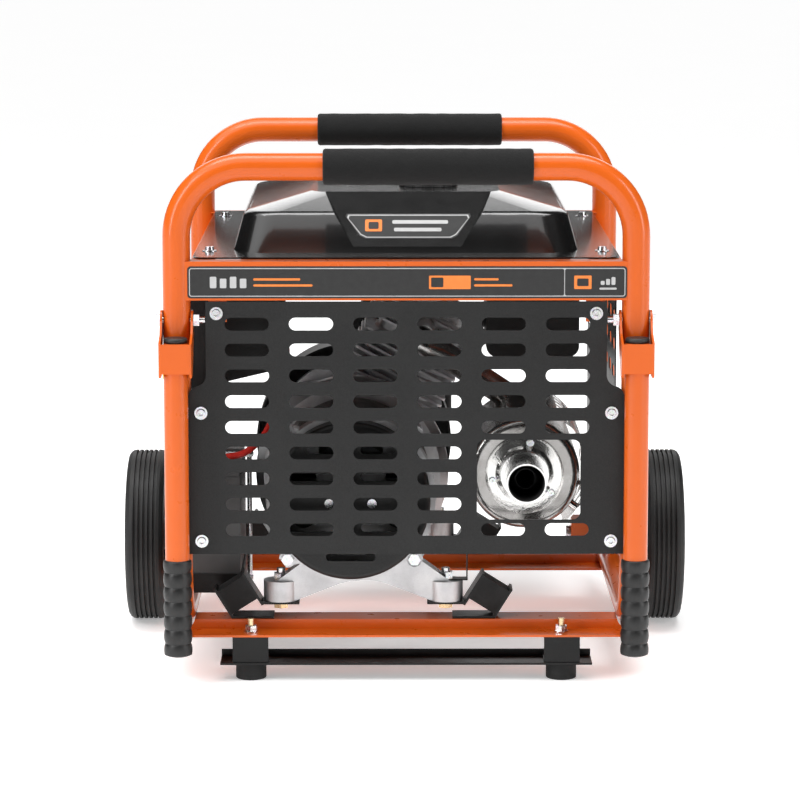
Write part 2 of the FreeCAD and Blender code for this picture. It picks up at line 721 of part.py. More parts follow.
cover_y0 = front_y + 14.0
ring_y0 = front_y + 42.0
ring_y1 = ring_y0 + 30.0
stator_y1 = ring_y1 + 140.0
case_y1 = front_y + 475.0
boss_y = front_member_y + flange_depth + flange_depth / 2 - section_t
boss_top = 110.0
boss_low = boss_top - boss_height
ear_bolt_d = 8.0
ring_r = end_ring_d / 2
ear_bolt_r = ring_r + 6.0

ring = rod(ring_r, on_crank(ring_y0), on_crank(ring_y1))
arm_t = 26.0
web = outline([(boss_mid_x - boss_half - 12, boss_low + 1, 0), (boss_mid_x - boss_half + 18, boss_low + 1, 6),
               (boss_mid_x, boss_low + 32, 90), (boss_mid_x + boss_half - 18, boss_low + 1, 6),
               (boss_mid_x + boss_half + 12, boss_low + 1, 0), (boss_mid_x + boss_half + 8, boss_top - 2, 8),
               (boss_mid_x + boss_half - 36, boss_top + 30, 20), (crank_x, crank_z, 0),
               (boss_mid_x - boss_half + 30, boss_top + 26, 20),
               (boss_mid_x - boss_half - 8, boss_top - 2, 8)],
              xz(boss_y - arm_t / 2))
arms = plate([web], Y * arm_t)
bracket_parts = [ring, arms]
for _, side in sides:
    centre = V(boss_mid_x + side * boss_half, boss_y, boss_low)
    bracket_parts.append(rod(boss_d / 2, centre, centre + Z * boss_height))
for k in range(4):
    angle = math.radians(45 + 90 * k)
    dx, dz = ear_bolt_r * math.cos(angle), ear_bolt_r * math.sin(angle)
    bracket_parts.append(rod(10, on_crank(ring_y0 + 6, dx, dz), on_crank(ring_y1, dx, dz)))
    bracket_parts.append(rod(14, on_crank(ring_y0 + 6, dx * 0.9, dz * 0.9),
                             on_crank(ring_y1, dx * 0.9, dz * 0.9)))
end_bracket = fused(*bracket_parts)
end_bracket = end_bracket.cut(rod(ring_r - 6, on_crank(ring_y0 - 1), on_crank(ring_y0 + 6)))
end_bracket = end_bracket.cut(rod(ring_r - 12, on_crank(ring_y0 + 12), on_crank(ring_y1 + 1)))
end_bracket = end_bracket.cut(rod(26 + run_gap, on_crank(ring_y0 - 1), on_crank(ring_y1 + 1)))
for k in range(8):
    angle = math.radians(22.5 + 45 * k)
    dx, dz = 60 * math.cos(angle), 60 * math.sin(angle)
    end_bracket = end_bracket.cut(rod(15, on_crank(ring_y0, dx, dz), on_crank(ring_y0 + 20, dx, dz)))
machine_bolts = []
for k in range(4):
    angle = math.radians(45 + 90 * k)
    dx, dz = ear_bolt_r * math.cos(angle), ear_bolt_r * math.sin(angle)
    end_bracket = end_bracket.cut(rod(ear_bolt_d / 2 + fit_gap, on_crank(ring_y0 - 1, dx, dz),
                                      on_crank(ring_y1 + 1, dx, dz)))
    end_bracket = end_bracket.cut(rod(ear_bolt_d + 0.6, on_crank(ring_y0 - 30, dx, dz),
                                      on_crank(ring_y0 + 6, dx, dz)))
    machine_bolts.append(bolt(ear_bolt_d, on_crank(ring_y0 + 6, dx, dz), on_crank(stator_y1, dx, dz), -Y))
mount_bolt_d = 10.0
nut_room = mount_bolt_d + 1.5
strap_t = 1.5               # the cable strap under the front right nut
strap_reach, strap_top = 26.0, 190.0
tab_z = boss_low - 3.0
for member_y in (boss_y, boss_y + middle_member_y - front_member_y):
    for _, side in sides:
        centre = V(boss_mid_x + side * boss_half, member_y, boss_low)
        lift = strap_t if member_y == boss_y and side > 0 else 0.0
        machine_bolts.append(bolt(mount_bolt_d, V(centre.x, centre.y, tab_z),
                                  centre + Z * (boss_height + 14), -Z))
        machine_bolts.append(nut(mount_bolt_d, centre + Z * (boss_height + lift), Z))
for _, side in sides:
    centre = V(boss_mid_x + side * boss_half, boss_y, 0)
    end_bracket = end_bracket.cut(rod(mount_bolt_d / 2 + fit_gap, centre, centre + Z * 130))
    end_bracket = end_bracket.cut(rod(nut_room, centre + Z * boss_top, centre + Z * (boss_top + 26)))
save("alternator_end_bracket", end_bracket)

cover_r = ring_r - 6.5
screw_drop = -2.0           # the cover's two screws sit just below the crank
cover = rod(cover_r, on_crank(cover_y0), on_crank(ring_y0 + 6))
cover = rounded_edges(cover, 6.0, lambda e: is_round(e) and abs(e.CenterOfMass.y - cover_y0) < 0.01)
cover = cover.cut(rod(cover_r - 2, on_crank(cover_y0 + 2.5), on_crank(ring_y0 + 7)))
vent_h = 9.5
vents = [(0, -66, 58)]
for dz in (-31, 29, 61):
    half = math.sqrt((cover_r - 14) ** 2 - dz ** 2)
    for _, side in sides:
        vents.append((side * (half + 12) / 2, dz, half - 12))
for dx, dz, length in vents:
    slot = stadium(crank_x + dx, crank_z + dz, length, vent_h, cover_y0 - 1)
    cover = cover.cut(Part.Face(slot).extrude(Y * 8))
for dx in (-25, 25):
    seat = on_crank(cover_y0, dx, screw_drop)
    cover = cover.cut(rod(2.6, seat - Y, seat + Y * 5))
    machine_bolts.append(fused(rod(5.5, seat - Y * 3.5, seat),
                               rod(2.5, seat, on_crank(ring_y0 + 6, dx, screw_drop))))
save("alternator_cover", cover)

stator = rod(stator_d / 2, on_crank(ring_y1), on_crank(stator_y1))
for k in range(4):
    angle = math.radians(45 + 90 * k)
    dx, dz = ear_bolt_r * math.cos(angle), ear_bolt_r * math.sin(angle)
    stator = stator.cut(rod(ear_bolt_d / 2 + 3, on_crank(ring_y1 - 1, dx, dz),
                            on_crank(stator_y1 + 1, dx, dz)))
stator = stator.cut(rod(stator_bore / 2, on_crank(ring_y1 - 1), on_crank(stator_y1 + 1)))
save("stator", stator)

# ---------------------------------------------------------------- engine
case_y0 = stator_y1
bell_r = 118.0
case_half = 92.0
case_low = 92.0
case_top = crank_z + 78.0
bearing_r = shaft_d / 2 + run_gap
bell_depth = 55.0
block_edge = outline([(crank_x - case_half, case_low, 18), (crank_x + case_half, case_low, 18),
                      (crank_x + case_half, case_top, 30), (crank_x - case_half, case_top, 40)],
                     xz(case_y0 + bell_depth - 5))
block = plate([block_edge], Y * (case_y1 - case_y0 - bell_depth + 5))
bell = ring_profile([(0, 0), (0, bell_r - 10), (12, bell_r), (28, bell_r), (bell_depth, case_half - 4),
                     (bell_depth, 0)],
                    on_crank(case_y0), Y)
engine_parts = [block, bell]
engine_boss_y = boss_y + middle_member_y - front_member_y
for _, side in sides:
    centre = V(boss_mid_x + side * boss_half, engine_boss_y, boss_low)
    engine_parts.append(rod(boss_d / 2 - 3, centre, centre + Z * boss_height))
    engine_parts.append(span(crank_x, centre.x, engine_boss_y - 12, min(engine_boss_y + 12, case_y1),
                             boss_low + 6, boss_low + 20))
crankcase = fused(*engine_parts)
crankcase = crankcase.cut(rod(stator_d / 2 - 4, on_crank(case_y0 - 1), on_crank(case_y0 + 5)))
crankcase = crankcase.cut(rod(bell_r - 16, on_crank(case_y0 + 3), on_crank(case_y0 + 25)))
crankcase = crankcase.cut(rod(bearing_r, on_crank(case_y0 - 5), on_crank(case_y1 + 5)))
cavity_y0, cavity_y1 = case_y0 + 68, case_y1 - 14
crankcase = crankcase.cut(rod(62, on_crank(cavity_y0), on_crank(cavity_y1)))
for _, side in sides:
    centre = V(boss_mid_x + side * boss_half, engine_boss_y, 0)
    crankcase = crankcase.cut(rod(mount_bolt_d / 2 + fit_gap, centre, centre + Z * 130))
    crankcase = crankcase.cut(rod(nut_room, centre + Z * boss_top, centre + Z * (boss_top + 26)))

lean = math.radians(cylinder_lean)
barrel_y = front_y + 370.0
up = V(math.sin(lean), 0, math.cos(lean))
across = V(math.cos(lean), 0, -math.sin(lean))
barrel_base = V(crank_x, barrel_y, crank_z)


def slab(along0, along1, half_w, half_y, r=8.0, shift=0.0):
    """A rounded block square to the cylinder's axis, from along0 to along1 above the crank."""
    def place(a, b):
        return barrel_base + up * along0 + across * (a + shift) + Y * b
    edge = outline([(-half_w, -half_y, r), (half_w, -half_y, r), (half_w, half_y, r),
                    (-half_w, half_y, r)], place)
    return Part.Face(edge).extrude(up * (along1 - along0))


fin_count = 8
fin_pitch = 9.0
barrel_start = 92.0
barrel_end = barrel_start + fin_count * fin_pitch
bore_r = 44.0
liner = rod(bore_r + 9, barrel_base + up * (barrel_start - 18), barrel_base + up * barrel_end)
fins = [slab(barrel_start + k * fin_pitch, barrel_start + k * fin_pitch + 3, 66, 62)
        for k in range(fin_count)]
barrel = fused(liner, slab(barrel_start - 6, barrel_start, 62, 58), *fins)
barrel = barrel.cut(rod(bore_r, barrel_base + up * 60, barrel_base + up * (barrel_end + 1)))
barrel = barrel.cut(crankcase)
port_along = barrel_end + 22
port_face = 46.0
intake = barrel_base + up * port_along + Y * (port_face + 0.2)
exhaust = barrel_base + up * port_along - Y * (port_face + 0.2)
port_room = [rod(22, intake, intake + Y * 30), rod(19, exhaust, exhaust - Y * 30)]
for room in port_room:
    barrel = barrel.cut(room)
barrel = largest(barrel)
save("crankcase", crankcase)
save("cylinder", barrel)
head_fins = [slab(barrel_end + 10 + k * fin_pitch, barrel_end + 13 + k * fin_pitch, 68, 62) for k in range(4)]
head = fused(slab(barrel_end, barrel_end + 44, 50, port_face), *head_fins)
for room in port_room:
    head = head.cut(room)
save("cylinder_head", head)
head_top = barrel_end + 44
rocker = slab(head_top, head_top + 22, 46, 40, 14.0)
rocker = rounded_edges(rocker, 5.0, lambda e: (e.CenterOfMass - barrel_base).dot(up) > head_top + 21)
save("rocker_cover", rocker)

blower_y1 = case_y1 + 68.0
blower_r = 126.0
blower = rod(blower_r, on_crank(case_y1), on_crank(blower_y1))
blower = rounded_edges(blower, 7.0, lambda e: is_round(e) and abs(e.CenterOfMass.y - blower_y1) < 0.01)
duct = slab(100, barrel_end + 46, 74, 30, 10.0)
duct = duct.translated(Y * (case_y1 + 30 - barrel_y))
blower = fused(blower, duct)
hollow = rod(blower_r - 2.5, on_crank(case_y1 - 1), on_crank(blower_y1 - 2.5))
blower = blower.cut(hollow).cut(rod(84, on_crank(case_y1), on_crank(blower_y1 + 2)))
inner_duct = slab(90, barrel_end + 43.5, 71.5, 27.5, 8.0).translated(Y * (case_y1 + 30 - barrel_y))
blower = blower.cut(inner_duct)
for dx, dz in ((-85, -85), (85, -85), (0, -112)):
    blower = fused(blower, rod(5, on_crank(case_y1, dx, dz), on_crank(blower_y1 - 1, dx, dz)))
save("blower_housing", largest(blower))

recoil = ring_profile([(0, 80), (0, 96), (3, 96), (4, 88), (22, 82), (30, 66), (30, 0), (27, 0),
                       (27, 62), (20, 78)], on_crank(blower_y1), Y)
for k in range(12):
    angle = math.radians(30 * k)
    a = on_crank(blower_y1 + 20, 62 * math.cos(angle), 62 * math.sin(angle))
    recoil = recoil.cut(rod(6.5, a, a + Y * 20))
boss = span(crank_x + 50, crank_x + 98, blower_y1 + 3.0, blower_y1 + 22, crank_z + 34, crank_z + 62)
boss = boss.cut(rod(79, on_crank(blower_y1 + 1), on_crank(blower_y1 + 30)))
recoil = fused(recoil, boss)
save("recoil_cover", largest(recoil))
pull_x = crank_x + 98.0
pull = fused(rod(5, V(pull_x + 0.4, blower_y1 + 12, crank_z + 48),
                 V(pull_x + 14, blower_y1 + 12, crank_z + 48)),
             span(pull_x + 14, pull_x + 30, blower_y1 + 3, blower_y1 + 21, crank_z + 12, crank_z + 84))
pull = rounded_edges(pull, 6.0, lambda e: e.BoundBox.XMin > pull_x + 13.9 and e.Length > 12
                     and not is_round(e))
save("recoil_grip", pull)

# turning group: shaft, rotor, fan and flywheel
shaft = fused(rod(shaft_d / 2, on_crank(ring_y0 + 16), on_crank(blower_y1 - 20)),
              rod(26, on_crank(ring_y0 + 6.5), on_crank(ring_y1 - 2)))
save("crankshaft", shaft)
rotor_r = stator_bore / 2 - air_gap
rotor_y0 = (ring_y1 + stator_y1 - rotor_length) / 2
rotor = washer(rotor_r, shaft_d / 2, on_crank(rotor_y0), on_crank(rotor_y0 + rotor_length))
for side in (-1, 1):
    for lift in (-1, 1):
        notch = span(crank_x + side * 34, crank_x + side * 70, rotor_y0 - 1, rotor_y0 + rotor_length + 1,
                     crank_z + lift * 17, crank_z + lift * 30)
        rotor = rotor.cut(notch)
save("rotor", rotor)
fan_y0 = stator_y1 + 4
fan = washer(bell_r - 20, shaft_d / 2, on_crank(fan_y0), on_crank(fan_y0 + 3))
vanes = []
for k in range(12):
    vane = span(crank_x + 45, crank_x + bell_r - 22, fan_y0 + 3, fan_y0 + 17, crank_z - 1.5, crank_z + 1.5)
    vane.rotate(crank, Y, 30 * k)
    vanes.append(vane)
fan_hub = washer(30, shaft_d / 2, on_crank(fan_y0 + 3), on_crank(fan_y0 + 17))
save("alternator_fan", fused(fan, fan_hub, *vanes))
wheel_y0 = case_y1 + 6
flywheel = washer(104, shaft_d / 2, on_crank(wheel_y0), on_crank(wheel_y0 + 18))
blades = []
for k in range(16):
    blade = span(crank_x + 58, crank_x + 100, wheel_y0 + 18, wheel_y0 + 38, crank_z - 1.75, crank_z + 1.75)
    blade.rotate(crank, Y, 22.5 * k)
    blades.append(blade)
wheel_hub = washer(34, shaft_d / 2, on_crank(wheel_y0 + 18), on_crank(wheel_y0 + 34))
save("flywheel", fused(flywheel, wheel_hub, *blades))

# ---------------------------------------------------------------- rubber mounts
slope = math.radians(mount_angle)
plate_t = 3.0
block_len, block_deep = 32.0, 34.0
rubber_list, steel_list = [], []
for member_y in (boss_y, engine_boss_y):
    for _, side in sides:
        down = V(side * -math.cos(slope), 0, -math.sin(slope))
        out = V(side * math.sin(slope), 0, -math.cos(slope))
        knee = V(boss_mid_x + side * (boss_half + 20), member_y - block_deep / 2, tab_z)

        def strip(start, direction, length, thickness, face):
            corners = [start, start + direction * length, start + direction * length + face * thickness,
                       start + face * thickness]
            return Part.Face(Part.makePolygon(corners + corners[:1])).extrude(Y * block_deep)

        upper = fused(strip(knee, -down, 44, plate_t, out),
                      span(knee.x + side * 1.2, boss_mid_x + side * (boss_half - 22),
                           knee.y, knee.y + block_deep, tab_z, tab_z + plate_t))
        hole = V(boss_mid_x + side * boss_half, member_y, 0)
        upper = upper.cut(rod(mount_bolt_d / 2 + fit_gap, hole, hole + Z * 130))
        far = knee + out * (plate_t + mount_rubber)
        drop = (far.z - deck_z) / math.sin(slope)
        foot_point = far + down * drop
        lower = fused(strip(foot_point, -down, 42, plate_t, out).cut(
                          span(-400, 400, -400, 400, deck_z - 60, deck_z)),
                      span(foot_point.x + side * 3.0, foot_point.x - side * 46,
                           knee.y, knee.y + block_deep, deck_z, deck_z + plate_t))
        steel_list += [upper, lower]
        block = strip(knee - down * 10 + out * plate_t, -down, block_len, mount_rubber, out)
        block = block.cut(lower).cut(upper)
        rubber_list.append(largest(block))
save("rubber_mounts", *rubber_list)
strap_seat = V(boss_mid_x + boss_half, boss_y, boss_top)
strap_x0, strap_x1 = strap_seat.x - 8, strap_seat.x + strap_reach
strap_y0, strap_y1 = boss_y - 8, boss_y + 8
cable_strap = fused(span(strap_x0, strap_x1, strap_y0, strap_y1, boss_top, boss_top + strap_t),
                    span(strap_x1 - strap_t, strap_x1, strap_y0, strap_y1, boss_top, strap_top))
cable_strap = cable_strap.cut(rod(mount_bolt_d / 2 + fit_gap, strap_seat - Z * 5, strap_seat + Z * 5))
save("mount_brackets", *steel_list, cable_strap)
save("machine_bolts", *machine_bolts)

# ---------------------------------------------------------------- battery leads
lead_d = 8.0
boot_height = 17.0


def lead(points):
    """A stiff lead along runs joined by arcs as large as the runs allow."""
    runs = [(b - a).Length for a, b in zip(points, points[1:])]
    bends = []
    for k in range(1, len(points) - 1):
        turn = (points[k] - points[k - 1]).getAngle(points[k + 1] - points[k])
        bends.append(0.45 * min(runs[k - 1], runs[k]) / math.tan(turn / 2))
    print("lead bends", [round(r) for r in bends])
    return swept(points, bends, lead_d / 2)


def terminal_boot(post_y):
    """The moulded boot over a battery post."""
    shell = span(post_x - 12, post_x + 10, post_y - 11, post_y + 11, clamp_z, clamp_z + boot_height)
    shell = rounded_edges(shell, 3.0, lambda e: e.CenterOfMass.z > clamp_z + 1)
    return shell.cut(rod(post_r, V(post_x, post_y, clamp_z), V(post_x, post_y, clamp_z + post_height)))


front_post_y, rear_post_y = battery_y0 + post_inset, battery_y0 + battery_l - post_inset
lead_z = clamp_z + 8
live_lead = lead([V(post_x + 10, front_post_y, lead_z),
                  V(post_x + 38, front_post_y + 2, lead_z + 3),
                  V(post_x + 62, front_post_y + 10, lead_z + 23),
                  V(post_x + 78, front_post_y + 22, lead_z + 57),
                  V(box_x1 + 8, front_post_y + 38, lead_z + 94),
                  V(box_x1 + 9, front_post_y + 51, lead_z + 132),
                  V(box_x1 - 6, front_post_y + 61, lead_z + 156),
                  V(box_x1 - 30, front_post_y + 69, lead_z + 162)])
case_side = crank_x - case_half
lug_seat = V(case_side, case_y0 + bell_depth + 31, crank_z - 13)
earth_lead = lead([V(post_x + 10, rear_post_y, lead_z),
                   V(post_x + 35, rear_post_y + 4, lead_z + 3),
                   V(post_x + 54, rear_post_y + 20, lead_z - 6),
                   V(case_side - 11, rear_post_y + 35, lead_z - 24),
                   V(case_side - 7.5, lug_seat.y - 1, lug_seat.z + 6)])
lug = rod(8, lug_seat, lug_seat - X * 13)
save("battery_leads", terminal_boot(front_post_y), live_lead, terminal_boot(rear_post_y),
     largest(earth_lead.cut(lug)), lug)

# ---------------------------------------------------------------- exhaust
muffler_y0 = front_y + 26.0
muffler_y1 = muffler_y0 + muffler_length


def on_muffler(y, dx=0.0, dz=0.0):
    return V(muffler_x + dx, y, muffler_z + dz)


mr = muffler_d / 2
can = rod(mr, on_muffler(muffler_y0), on_muffler(muffler_y1))
can = rounded_edges(can, 9.0, is_round)
can_wall = 2.0
can_room = rod(mr - can_wall, on_muffler(muffler_y0 + can_wall), on_muffler(muffler_y1 - can_wall))
can = can.cut(rounded_edges(can_room, 9.0 - can_wall, is_round))
can = can.cut(rod(outlet_neck_r + fit_gap, on_muffler(muffler_y0 - 1), on_muffler(muffler_y0 + 12)))
header_r, header_wall, header_bend_r = 16.0, 2.0, 30.0
drop_y = muffler_y1 - 45
header_points = [exhaust, V(exhaust.x, drop_y, exhaust.z), V(muffler_x, drop_y, muffler_z + mr - 8)]
header = swept_tube(header_points, [header_bend_r], header_r, header_wall).cut(can)
header = largest(header)
save("muffler", can, header)
ring_out = 46.0
collar_r = 28.0
end_ring = ring_profile([(-3, collar_r), (-3, ring_out), (-8, ring_out), (-6, ring_out - 3),
                         (-4, collar_r + 6), (-13, collar_r), (-13, outlet_neck_r + fit_gap),
                         (-3, outlet_neck_r + fit_gap)],
                        on_muffler(muffler_y0 + 3), Y)
outlet_wall = 2.2
collar_y = muffler_y0 - 10.0
outlet = rod(outlet_r, on_muffler(front_y - outlet_reach), on_muffler(collar_y - 1))
outlet = fused(outlet, rod(outlet_neck_r, on_muffler(collar_y - 1), on_muffler(muffler_y0 + 10)))
outlet = outlet.cut(rod(outlet_r - outlet_wall, on_muffler(front_y - outlet_reach - 1),
                        on_muffler(muffler_y0 + 11)))
spark = pipe(12.5, 1.5, on_muffler(front_y - 6), on_muffler(muffler_y0 + 12))
baffle = washer(outlet_r - outlet_wall, 12.5, on_muffler(muffler_y0 + 6), on_muffler(muffler_y0 + 10))
outlet = fused(outlet, baffle, spark)
save("exhaust_outlet", outlet, end_ring)
shield_r = mr + 12
wrap = pipe(shield_r, 1.2, on_muffler(muffler_y0 + 14), on_muffler(muffler_y1 - 14))
keep = span(muffler_x - 20, muffler_x + 100, muffler_y0, muffler_y1, muffler_z - 60, muffler_z + 100)
wrap = wrap.common(keep)
for row in range(5):
    angle = math.radians(-30 + row * 27)
    for step in range(6):
        y = muffler_y0 + 34 + step * 31
        toward = V(math.cos(angle), 0, math.sin(angle))
        tangent = V(-math.sin(angle), 0, math.cos(angle))
        a = on_muffler(y) + toward * (shield_r - 8)
        corners = [a + tangent * 8, a + tangent * 8 + Y * 18, a - tangent * 8 + Y * 18, a - tangent * 8]
        wrap = wrap.cut(Part.Face(Part.makePolygon(corners + corners[:1])).extrude(toward * 16))
wrap = wrap.cut(swept(header_points, [header_bend_r], header_r + 2.0))
spacers = []
for y in (muffler_y0 + 24, muffler_y1 - 24):
    for angle in (-35, 92):
        toward = V(math.cos(math.radians(angle)), 0, math.sin(math.radians(angle)))
        post = rod(5, on_muffler(y) + toward * (mr - 1), on_muffler(y) + toward * (shield_r - 0.6))
        spacers.append(post.cut(can))
wrap = fused(largest(wrap), *[largest(p) for p in spacers])
save("muffler_shield", wrap)

# ---------------------------------------------------------------- intake
bowl_top = intake + V(0, 37.5, -26)
carb = fused(rod(19, intake, intake + Y * 16),
             span(intake.x - 24, intake.x + 24, intake.y + 16, intake.y + 50, intake.z - 26, intake.z + 22),
             rod(20, bowl_top - Z * 26, bowl_top))
save("carburettor", carb)
cleaner_x1 = leg_x - 43.0
cleaner_x0 = cleaner_x1 - 118.0
cleaner_y0, cleaner_length = intake.y - 20, 128.0


def cleaner_box(inset):
    half_z = 46 - inset
    x0, x1 = cleaner_x0 + inset, cleaner_x1 - inset
    edge = outline([(x0, intake.z - half_z, 14 - inset), (x1, intake.z - half_z, 14 - inset),
                    (x1, intake.z + half_z, 22 - inset), (x0, intake.z + half_z, 22 - inset)],
                   xz(cleaner_y0 + inset))
    return plate([edge], Y * (cleaner_length - 2 * inset))


cleaner_wall = 3.0
cleaner = rounded_edges(cleaner_box(0), 8.0, lambda e: e.CenterOfMass.y > cleaner_y0 + cleaner_length - 0.1)
neck_y = intake.y + 33
neck = pipe(15, 2.0, V(intake.x + 24.2, neck_y, intake.z), V(cleaner_x0 + 1, neck_y, intake.z))
mouth = rod(13, V(cleaner_x0 - 5, neck_y, intake.z), V(cleaner_x0 + 10, neck_y, intake.z))
save("air_cleaner", fused(cleaner, neck).cut(cleaner_box(cleaner_wall)).cut(mouth))

# ---------------------------------------------------------------- fuel tank
tank_y0 = front_y + 60.0
tank_y1 = rear_y - 60.0
flange_z = band_top
flange_t = 2.0
flange_x = leg_x - tube_r - 1.5
flange_edge = outline([(-flange_x, front_y + 14, 14), (flange_x, front_y + 14, 14),
                       (flange_x, rear_y - 14, 14), (-flange_x, rear_y - 14, 14)], xy(flange_z))
flange_plate = plate([flange_edge], Z * flange_t)


def rounded(half_x, y0, y1, z, r):
    return outline([(-half_x, y0, r), (half_x, y0, r), (half_x, y1, r), (-half_x, y1, r)], xy(z))


z_low = flange_z + flange_t
crown_drop = 18.0
tank_wall = 1.5


def tank_upper(inset):
    """The upper pressing: leaning sides and a shallow crown; inset gives the space inside it."""
    w, top = tank_half_x - inset, tank_top - inset
    y0, y1 = tank_y0 + inset, tank_y1 - inset
    shoulder = rounded(w - 12, y0 + 26, y1 - 20, top - crown_drop, 38)
    sides_part = Part.makeLoft([rounded(w, y0, y1, z_low - inset, 42), shoulder], True, True)
    crown = Part.makeLoft([shoulder, rounded(w - 90, y0 + 96, y1 - 76, top, 30)], True, True)
    shell = fused(sides_part, crown)
    return rounded_edges(shell, 12.0, lambda e: abs(e.BoundBox.ZMin - top + crown_drop) < 0.5
                         and abs(e.BoundBox.ZMax - top + crown_drop) < 0.5)


def tank_chute(grow):
    """The sloping recess for the label at the front of the tank."""
    low = z_low + 6 - grow
    edge = outline([(-61 - grow, low, 0), (64 + grow, low, 0), (122 + grow, tank_top + 30, 0),
                    (-114 - grow, tank_top + 30, 0)], xz(tank_y0 - 30))
    slope = outline([(tank_y0 - 40, low, 0), (tank_y0 + 2 + grow, low, 0),
                     (tank_y0 + 104 + grow, tank_top, 0), (tank_y0 + 104 + grow, tank_top + 40, 0),
                     (tank_y0 - 40, tank_top + 40, 0)], yz(-300))
    return plate([edge], Y * 260).common(Part.Face(slope).extrude(X * 600))


shell = tank_upper(0).cut(tank_chute(0))
room = tank_upper(tank_wall).cut(tank_chute(tank_wall * 1.5))
lower_x = tank_half_x - 17.0    # half width of the tank's floor
lower = Part.makeLoft([rounded(lower_x, tank_y0 + 20, tank_y1 - 20, band_bottom + 4, 36),
                       rounded(lower_x + 12, tank_y0 + 6, tank_y1 - 6, flange_z, 42)], True, True)
lower_room = Part.makeLoft([rounded(lower_x - 2, tank_y0 + 22, tank_y1 - 22, band_bottom + 4 + tank_wall, 34),
                            rounded(lower_x + 10, tank_y0 + 8, tank_y1 - 8, flange_z + 0.6, 40)], True, True)
cap_x, cap_y = 28.0, front_y + 250.0
neck_r = 30.0
neck = rod(neck_r, V(cap_x, cap_y, tank_top - 4), V(cap_x, cap_y, tank_top + 5))
filler = rod(neck_r - 3, V(cap_x, cap_y, tank_top - 60), V(cap_x, cap_y, tank_top + 6))
gauge = rod(20, V(cap_x - 90, cap_y + 40, tank_top - 1), V(cap_x - 90, cap_y + 40, tank_top + 4))
tank = fused(shell, flange_plate, lower, neck, gauge).cut(filler).cut(room).cut(lower_room)
save("fuel_tank", largest(tank))
cap_profile = [(0, neck_r + run_gap + 0.3), (0, neck_r + 6), (14, neck_r + 5), (18, neck_r + 1), (18, 0),
               (side_gap + 5, 0), (side_gap + 5, neck_r + run_gap + 0.3)]
fuel_cap = ring_profile([(a + side_gap, b) for a, b in cap_profile], V(cap_x, cap_y, tank_top), Z)
for k in range(18):
    angle = math.radians(20 * k)
    c = V(cap_x + (neck_r + 8.2) * math.cos(angle), cap_y + (neck_r + 8.2) * math.sin(angle), tank_top)
    fuel_cap = fuel_cap.cut(rod(3.2, c, c + Z * 14))
save("fuel_cap", fuel_cap)

# ---------------------------------------------------------------- control box on the -X side
box_edge = outline([(face_x, box_z0, 8), (box_x1, box_z0 + 26, 10), (box_x1, box_z1, 4),
                    (face_x, box_z1, 4)], xz(box_y0))
control = plate([box_edge], Y * (box_y1 - box_y0))
inner_edge = outline([(face_x + ctrl_t, box_z0 + ctrl_t, 6), (box_x1 + 30, box_z0 + 20, 8),
                      (box_x1 + 30, box_z1 - ctrl_t, 3), (face_x + ctrl_t, box_z1 - ctrl_t, 3)],
                     xz(box_y0 + ctrl_t))
control = control.cut(plate([inner_edge], Y * (box_y1 - box_y0 - 2 * ctrl_t)))
control = control.cut(span(box_x1 - 35, box_x1 + 5, box_y0 + 60, box_y1 - 60, box_z0 + 45, box_z1 - 20))
hang = span(face_x + 20, face_x + 13, box_y0 + 40, box_y1 - 40, box_z1, band_bottom)
control = fused(control, hang)
mid_z = (box_z0 + box_z1) / 2
socket_r = 27.0
socket_depth = 13.0
socket_y = (box_y0 + 150.0, box_y0 + 226.0)
lid_t = 4.0
recess_r = 20.0
knuckle_r = 3.5
sockets, lids = [], []
pin_x = face_x - socket_depth - 2
for y in socket_y:
    centre = V(face_x, y, mid_z - 4)
    body = rod(socket_r, centre, centre - X * socket_depth)
    body = body.cut(rod(recess_r, centre - X * 1.0, centre - X * (socket_depth + 1)))
    hinge_z = centre.z + socket_r + knuckle_r
    for dy in (-14, 14):
        knuckle = fused(rod(knuckle_r, V(pin_x, y + dy - 4, hinge_z), V(pin_x, y + dy + 4, hinge_z)),
                        span(pin_x, face_x, y + dy - 4, y + dy + 4, hinge_z - knuckle_r, hinge_z + knuckle_r))
        body = fused(body, knuckle)
    pin = rod(1.5, V(pin_x, y - 18, hinge_z), V(pin_x, y + 18, hinge_z))
    body = fused(body, pin)
    sockets.append(body)
    back = V(face_x - socket_depth - side_gap, y, centre.z)
    flap = rod(socket_r, back, back - X * lid_t)
    arm = span(back.x, back.x - lid_t, y - 9, y + 9, centre.z + 10, hinge_z)
    barrel_pin = rod(knuckle_r, V(pin_x, y - 9.6, hinge_z), V(pin_x, y + 9.6, hinge_z))
    bore = rod(1.5 + run_gap, V(pin_x, y - 20, hinge_z), V(pin_x, y + 20, hinge_z))
    lids.append(fused(flap, arm, barrel_pin).cut(bore))
meter_seat = V(face_x, box_y0 + 70, mid_z + 4)
meter_rim = meter_seat - X * 5
sockets.append(fused(rod(26, meter_seat, meter_rim), rod(23, meter_rim, meter_rim - X * 4)))
stud = V(face_x, box_y1 - 26, box_z0 + 24)
stud_r = 3.0
sockets.append(fused(rod(stud_r, stud, stud - X * 20), hexagon(10, stud, stud - X * 4),
                     washer(8, stud_r, stud - X * 4, stud - X * 5.5)))
save("control_box", control)
save("socket_plate_fittings", *sockets)
for index, flap in enumerate(lids):
    save(f"socket_lid_{index + 1}", flap)

